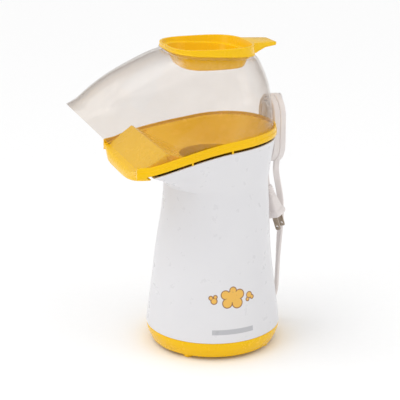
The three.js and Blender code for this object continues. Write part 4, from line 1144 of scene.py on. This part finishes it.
def mouth_knife():
    """Cutter for everything in front of the slanted plane of the mouth."""
    foot = np.array(MOUTH_FOOT, float)
    along = np.array(MOUTH_TIP, float) - foot
    along /= np.linalg.norm(along)
    away = np.array([-along[1], along[0]])
    low, high = foot - 150 * along, foot + 250 * along
    corners = [low, high, high + 300 * away, low + 300 * away]
    return slab("knife", [tuple(c) for c in corners], -200, 200, "x", 0)


def make_cover():
    outer = lofted("cover_outer", cover_rings(0), False)
    inner_rings = cover_rings(COVER_WALL)
    inner_rings[0] = blend(inner_rings[0], inner_rings[1], -1.2)      # runs on below the foot
    inner = lofted("cover_inner", inner_rings, False)
    boolean(outer, [inner])
    neck_w, neck_l = CUP_W - CUP_NECK + 1, CUP_L - CUP_NECK + 1
    collar = lofted("collar", [
        cup_outline(CUP_W + 0.4, CUP_L + 1.4, lambda y: crown(y) - 1.2),
        cup_outline(CUP_W, CUP_L + 1, lambda y: crown(y) + COLLAR_H - 0.4),
        cup_outline(CUP_W - 0.5, CUP_L + 0.5, lambda y: crown(y) + COLLAR_H),
        cup_outline(neck_w, neck_l, lambda y: crown(y) + COLLAR_H),
        cup_outline(neck_w, neck_l, lambda y: crown(y) - 1.2),
    ], True)
    boolean(outer, [collar], "UNION")
    hole = CUP_NECK - 0.8
    opening = lofted("opening", [cup_outline(CUP_W - hole, CUP_L - hole, z) for z in (300, 360)], False)
    boolean(outer, [opening, mouth_knife()], sharp=30)
    outer.name = "clear_hood"
    outer.visible_shadow = False     # the clear wall lets the light on to the tray
    return finish_piece(outer, "chute", "clear_plastic", "clear_cover")


make_cover()


# ---- butter cup
def seat(y):
    return crown(y) + COLLAR_H + GAP


def ring(inset, height, shift=0.0):
    return cup_outline(CUP_W - inset, CUP_L - inset, height, shift)


def cup_wall():
    """Rim on the cover's collar, inner ledge, deep middle and the outside back up to the collar."""
    def from_seat(inset, rise, shift=0.0):
        return ring(inset, lambda y: seat(y) + rise, shift)

    def from_rim(inset, drop):
        return ring(inset, CUP_RIM_Z - drop)

    def from_floor(inset, rise, shift):
        return ring(inset, CUP_FLOOR + rise, shift)

    return lofted("cup_wall", [
        from_seat(0.3, 0), from_seat(-0.1, 0.2), from_seat(-0.2, 1.0),
        ring(0.3, lambda y: np.minimum(seat(y) + 1.7, CUP_RIM_Z - 1.6)),
        from_rim(0.35, 1.5), from_rim(0.2, 1.1), from_rim(0.5, 0.3), from_rim(1.1, 0),
        from_rim(2.0, 0), from_rim(2.7, 0.3), from_rim(3.1, 1.0),
        from_seat(3.9, 3.0), from_seat(4.3, 2.3), from_seat(5, 2.1), from_seat(7.8, 2.0),
        from_seat(8.6, 1.6), from_seat(9, 0.6), from_seat(9.8, -4.6, 0.4),
        from_floor(12.4, 5, 1.8), from_floor(14, 3, 2.6), from_floor(15, 2.2, 2.9),
        *(from_floor(inset, 2, 3) for inset in (17, 24, 36, 48.6)),
        *(from_floor(inset, 0, 3) for inset in (48.6, 24, 15.6)),
        from_floor(13.6, 0.6, 2.8), from_floor(12, 2.2, 2.5),
        from_seat(7.5, -4.4, 0.4), from_seat(6.9, -3.8, 0.2), from_seat(5, -3.5),
        from_seat(CUP_NECK, -3.1), from_seat(CUP_NECK, 0),
    ], True, 32)


def cup_handle():
    """Flat handle with a rounded end, over a web that runs back under the rim."""
    root = CUP_MID_Y + CUP_L
    tip = HANDLE_TIP
    side = [(root - 3, CUP_RIM_Z - 0.5), (root + 10, CUP_RIM_Z - 0.7), (tip - 5, CUP_RIM_Z - 1.2)]
    side += [(tip - 2 + 1.2 * math.sin(math.radians(a)), CUP_RIM_Z - 3.1 + 1.9 * math.cos(math.radians(a)))
             for a in np.linspace(0, 150, 9)]
    side += [(tip - 5, CUP_RIM_Z - 5), (root + 14, CUP_RIM_Z - 6.2), (root + 8.5, CUP_RIM_Z - 8.6),
             (root + 4.4, CUP_RIM_Z - 10.2), (root + 2.6, CUP_RIM_Z - 11.3), (root - 0.4, CUP_RIM_Z - 11.6),
             (root - 3, CUP_RIM_Z - 4)]
    handle = slab("cup_handle", side, -24, 24, "x", 0)
    half_plan = [(22, root - 6), (20.3, root + 2), (18.6, root + 10), (17, tip - 7), (15.8, tip - 3),
                 (13.4, tip - 0.8), (9, tip)]
    plan = half_plan + [(-x, y) for x, y in reversed(half_plan)]
    trim = slab("trim", plan, 320, 360, "z", 0)
    boolean(handle, [trim], "INTERSECT")
    well = lofted("well", [ring(2.3, CUP_RIM_Z - 3), ring(2.3, CUP_RIM_Z + 9)], False)
    cavity = lofted("cavity", [ring(3.2, 300), ring(3.2, CUP_RIM_Z + 9)], False)
    boolean(handle, [well, cavity])

    def on_grip(edge):
        clear_of_cup = edge.verts[0].co.y > (AXIS_Y + root + 5) * MM
        return clear_of_cup and edge.calc_face_angle(0) > math.radians(55)

    bevel_edges(handle, on_grip, 0.7, 35)
    return handle


def make_cup():
    made = merged("cup_moulding", [cup_wall(), cup_handle()])
    return finish_piece(made, "butter_cup", "yellow_plastic", "butter_cup")


make_cup()


# ---- floor and light
FLOOR_HALF = 30              # metres
FLOOR_PALE = (0.97, 0.97, 0.97, 1)
FLOOR_SHADE = (0.95, 0.95, 0.95, 1)
WORLD_STRENGTH = 0.52
SUNS = (                     # name, direction to the light, strength, spread in degrees
    ("sun_key", (-0.2, -0.75, 1.3), 0.8, 50),
    ("sun_top", (0.25, 0.1, 1), 0.9, 70),
)
PANELS = (                   # name, place and width and height in metres, watts
    ("panel_left", (0.5, -1.1, 0.7), 0.7, 0.9, 2.5),
    ("panel_right", (0.9, 1.0, 0.6), 0.5, 0.9, 1.5),
)
PANEL_AIM = Vector((0, 0, 0.2))


def make_floor():
    corners = [(x * FLOOR_HALF, y * FLOOR_HALF, 0) for x, y in ((-1, -1), (1, -1), (1, 1), (-1, 1))]
    mesh = bpy.data.meshes.new("floor")
    mesh.from_pydata(corners, [], [(0, 1, 2, 3)])
    floor = linked("floor", mesh)
    n = Nodes("floor_paper")
    grain = n.noise(120, 4)
    colour = n.mix(n.ramp(grain, 0, 0.5), FLOOR_PALE, FLOOR_SHADE)
    shader = n.add("ShaderNodeBsdfPrincipled", {"Base Color": colour, "Roughness": 0.9})
    shader.inputs["Specular IOR Level"].default_value = 0.1
    mesh.materials.append(n.finished(shader))


def make_lights():
    world = bpy.data.worlds.new("studio")
    scene.world = world
    world.use_nodes = True
    background = world.node_tree.nodes["Background"]
    background.inputs["Color"].default_value = (1, 1, 1, 1)
    background.inputs["Strength"].default_value = WORLD_STRENGTH
    for name, direction, strength, spread in SUNS:
        data = bpy.data.lights.new(name, "SUN")
        data.energy = strength
        data.angle = math.radians(spread)
        linked(name, data).rotation_euler = Vector(direction).to_track_quat("Z", "Y").to_euler()
    for name, place, width, height, power in PANELS:
        data = bpy.data.lights.new(name, "AREA")
        data.shape = "RECTANGLE"
        data.size = width
        data.size_y = height
        data.energy = power
        light = linked(name, data)
        light.location = place
        light.rotation_euler = (Vector(place) - PANEL_AIM).to_track_quat("Z", "Y").to_euler()
    scene.view_settings.view_transform = "Standard"


make_floor()
make_lights()
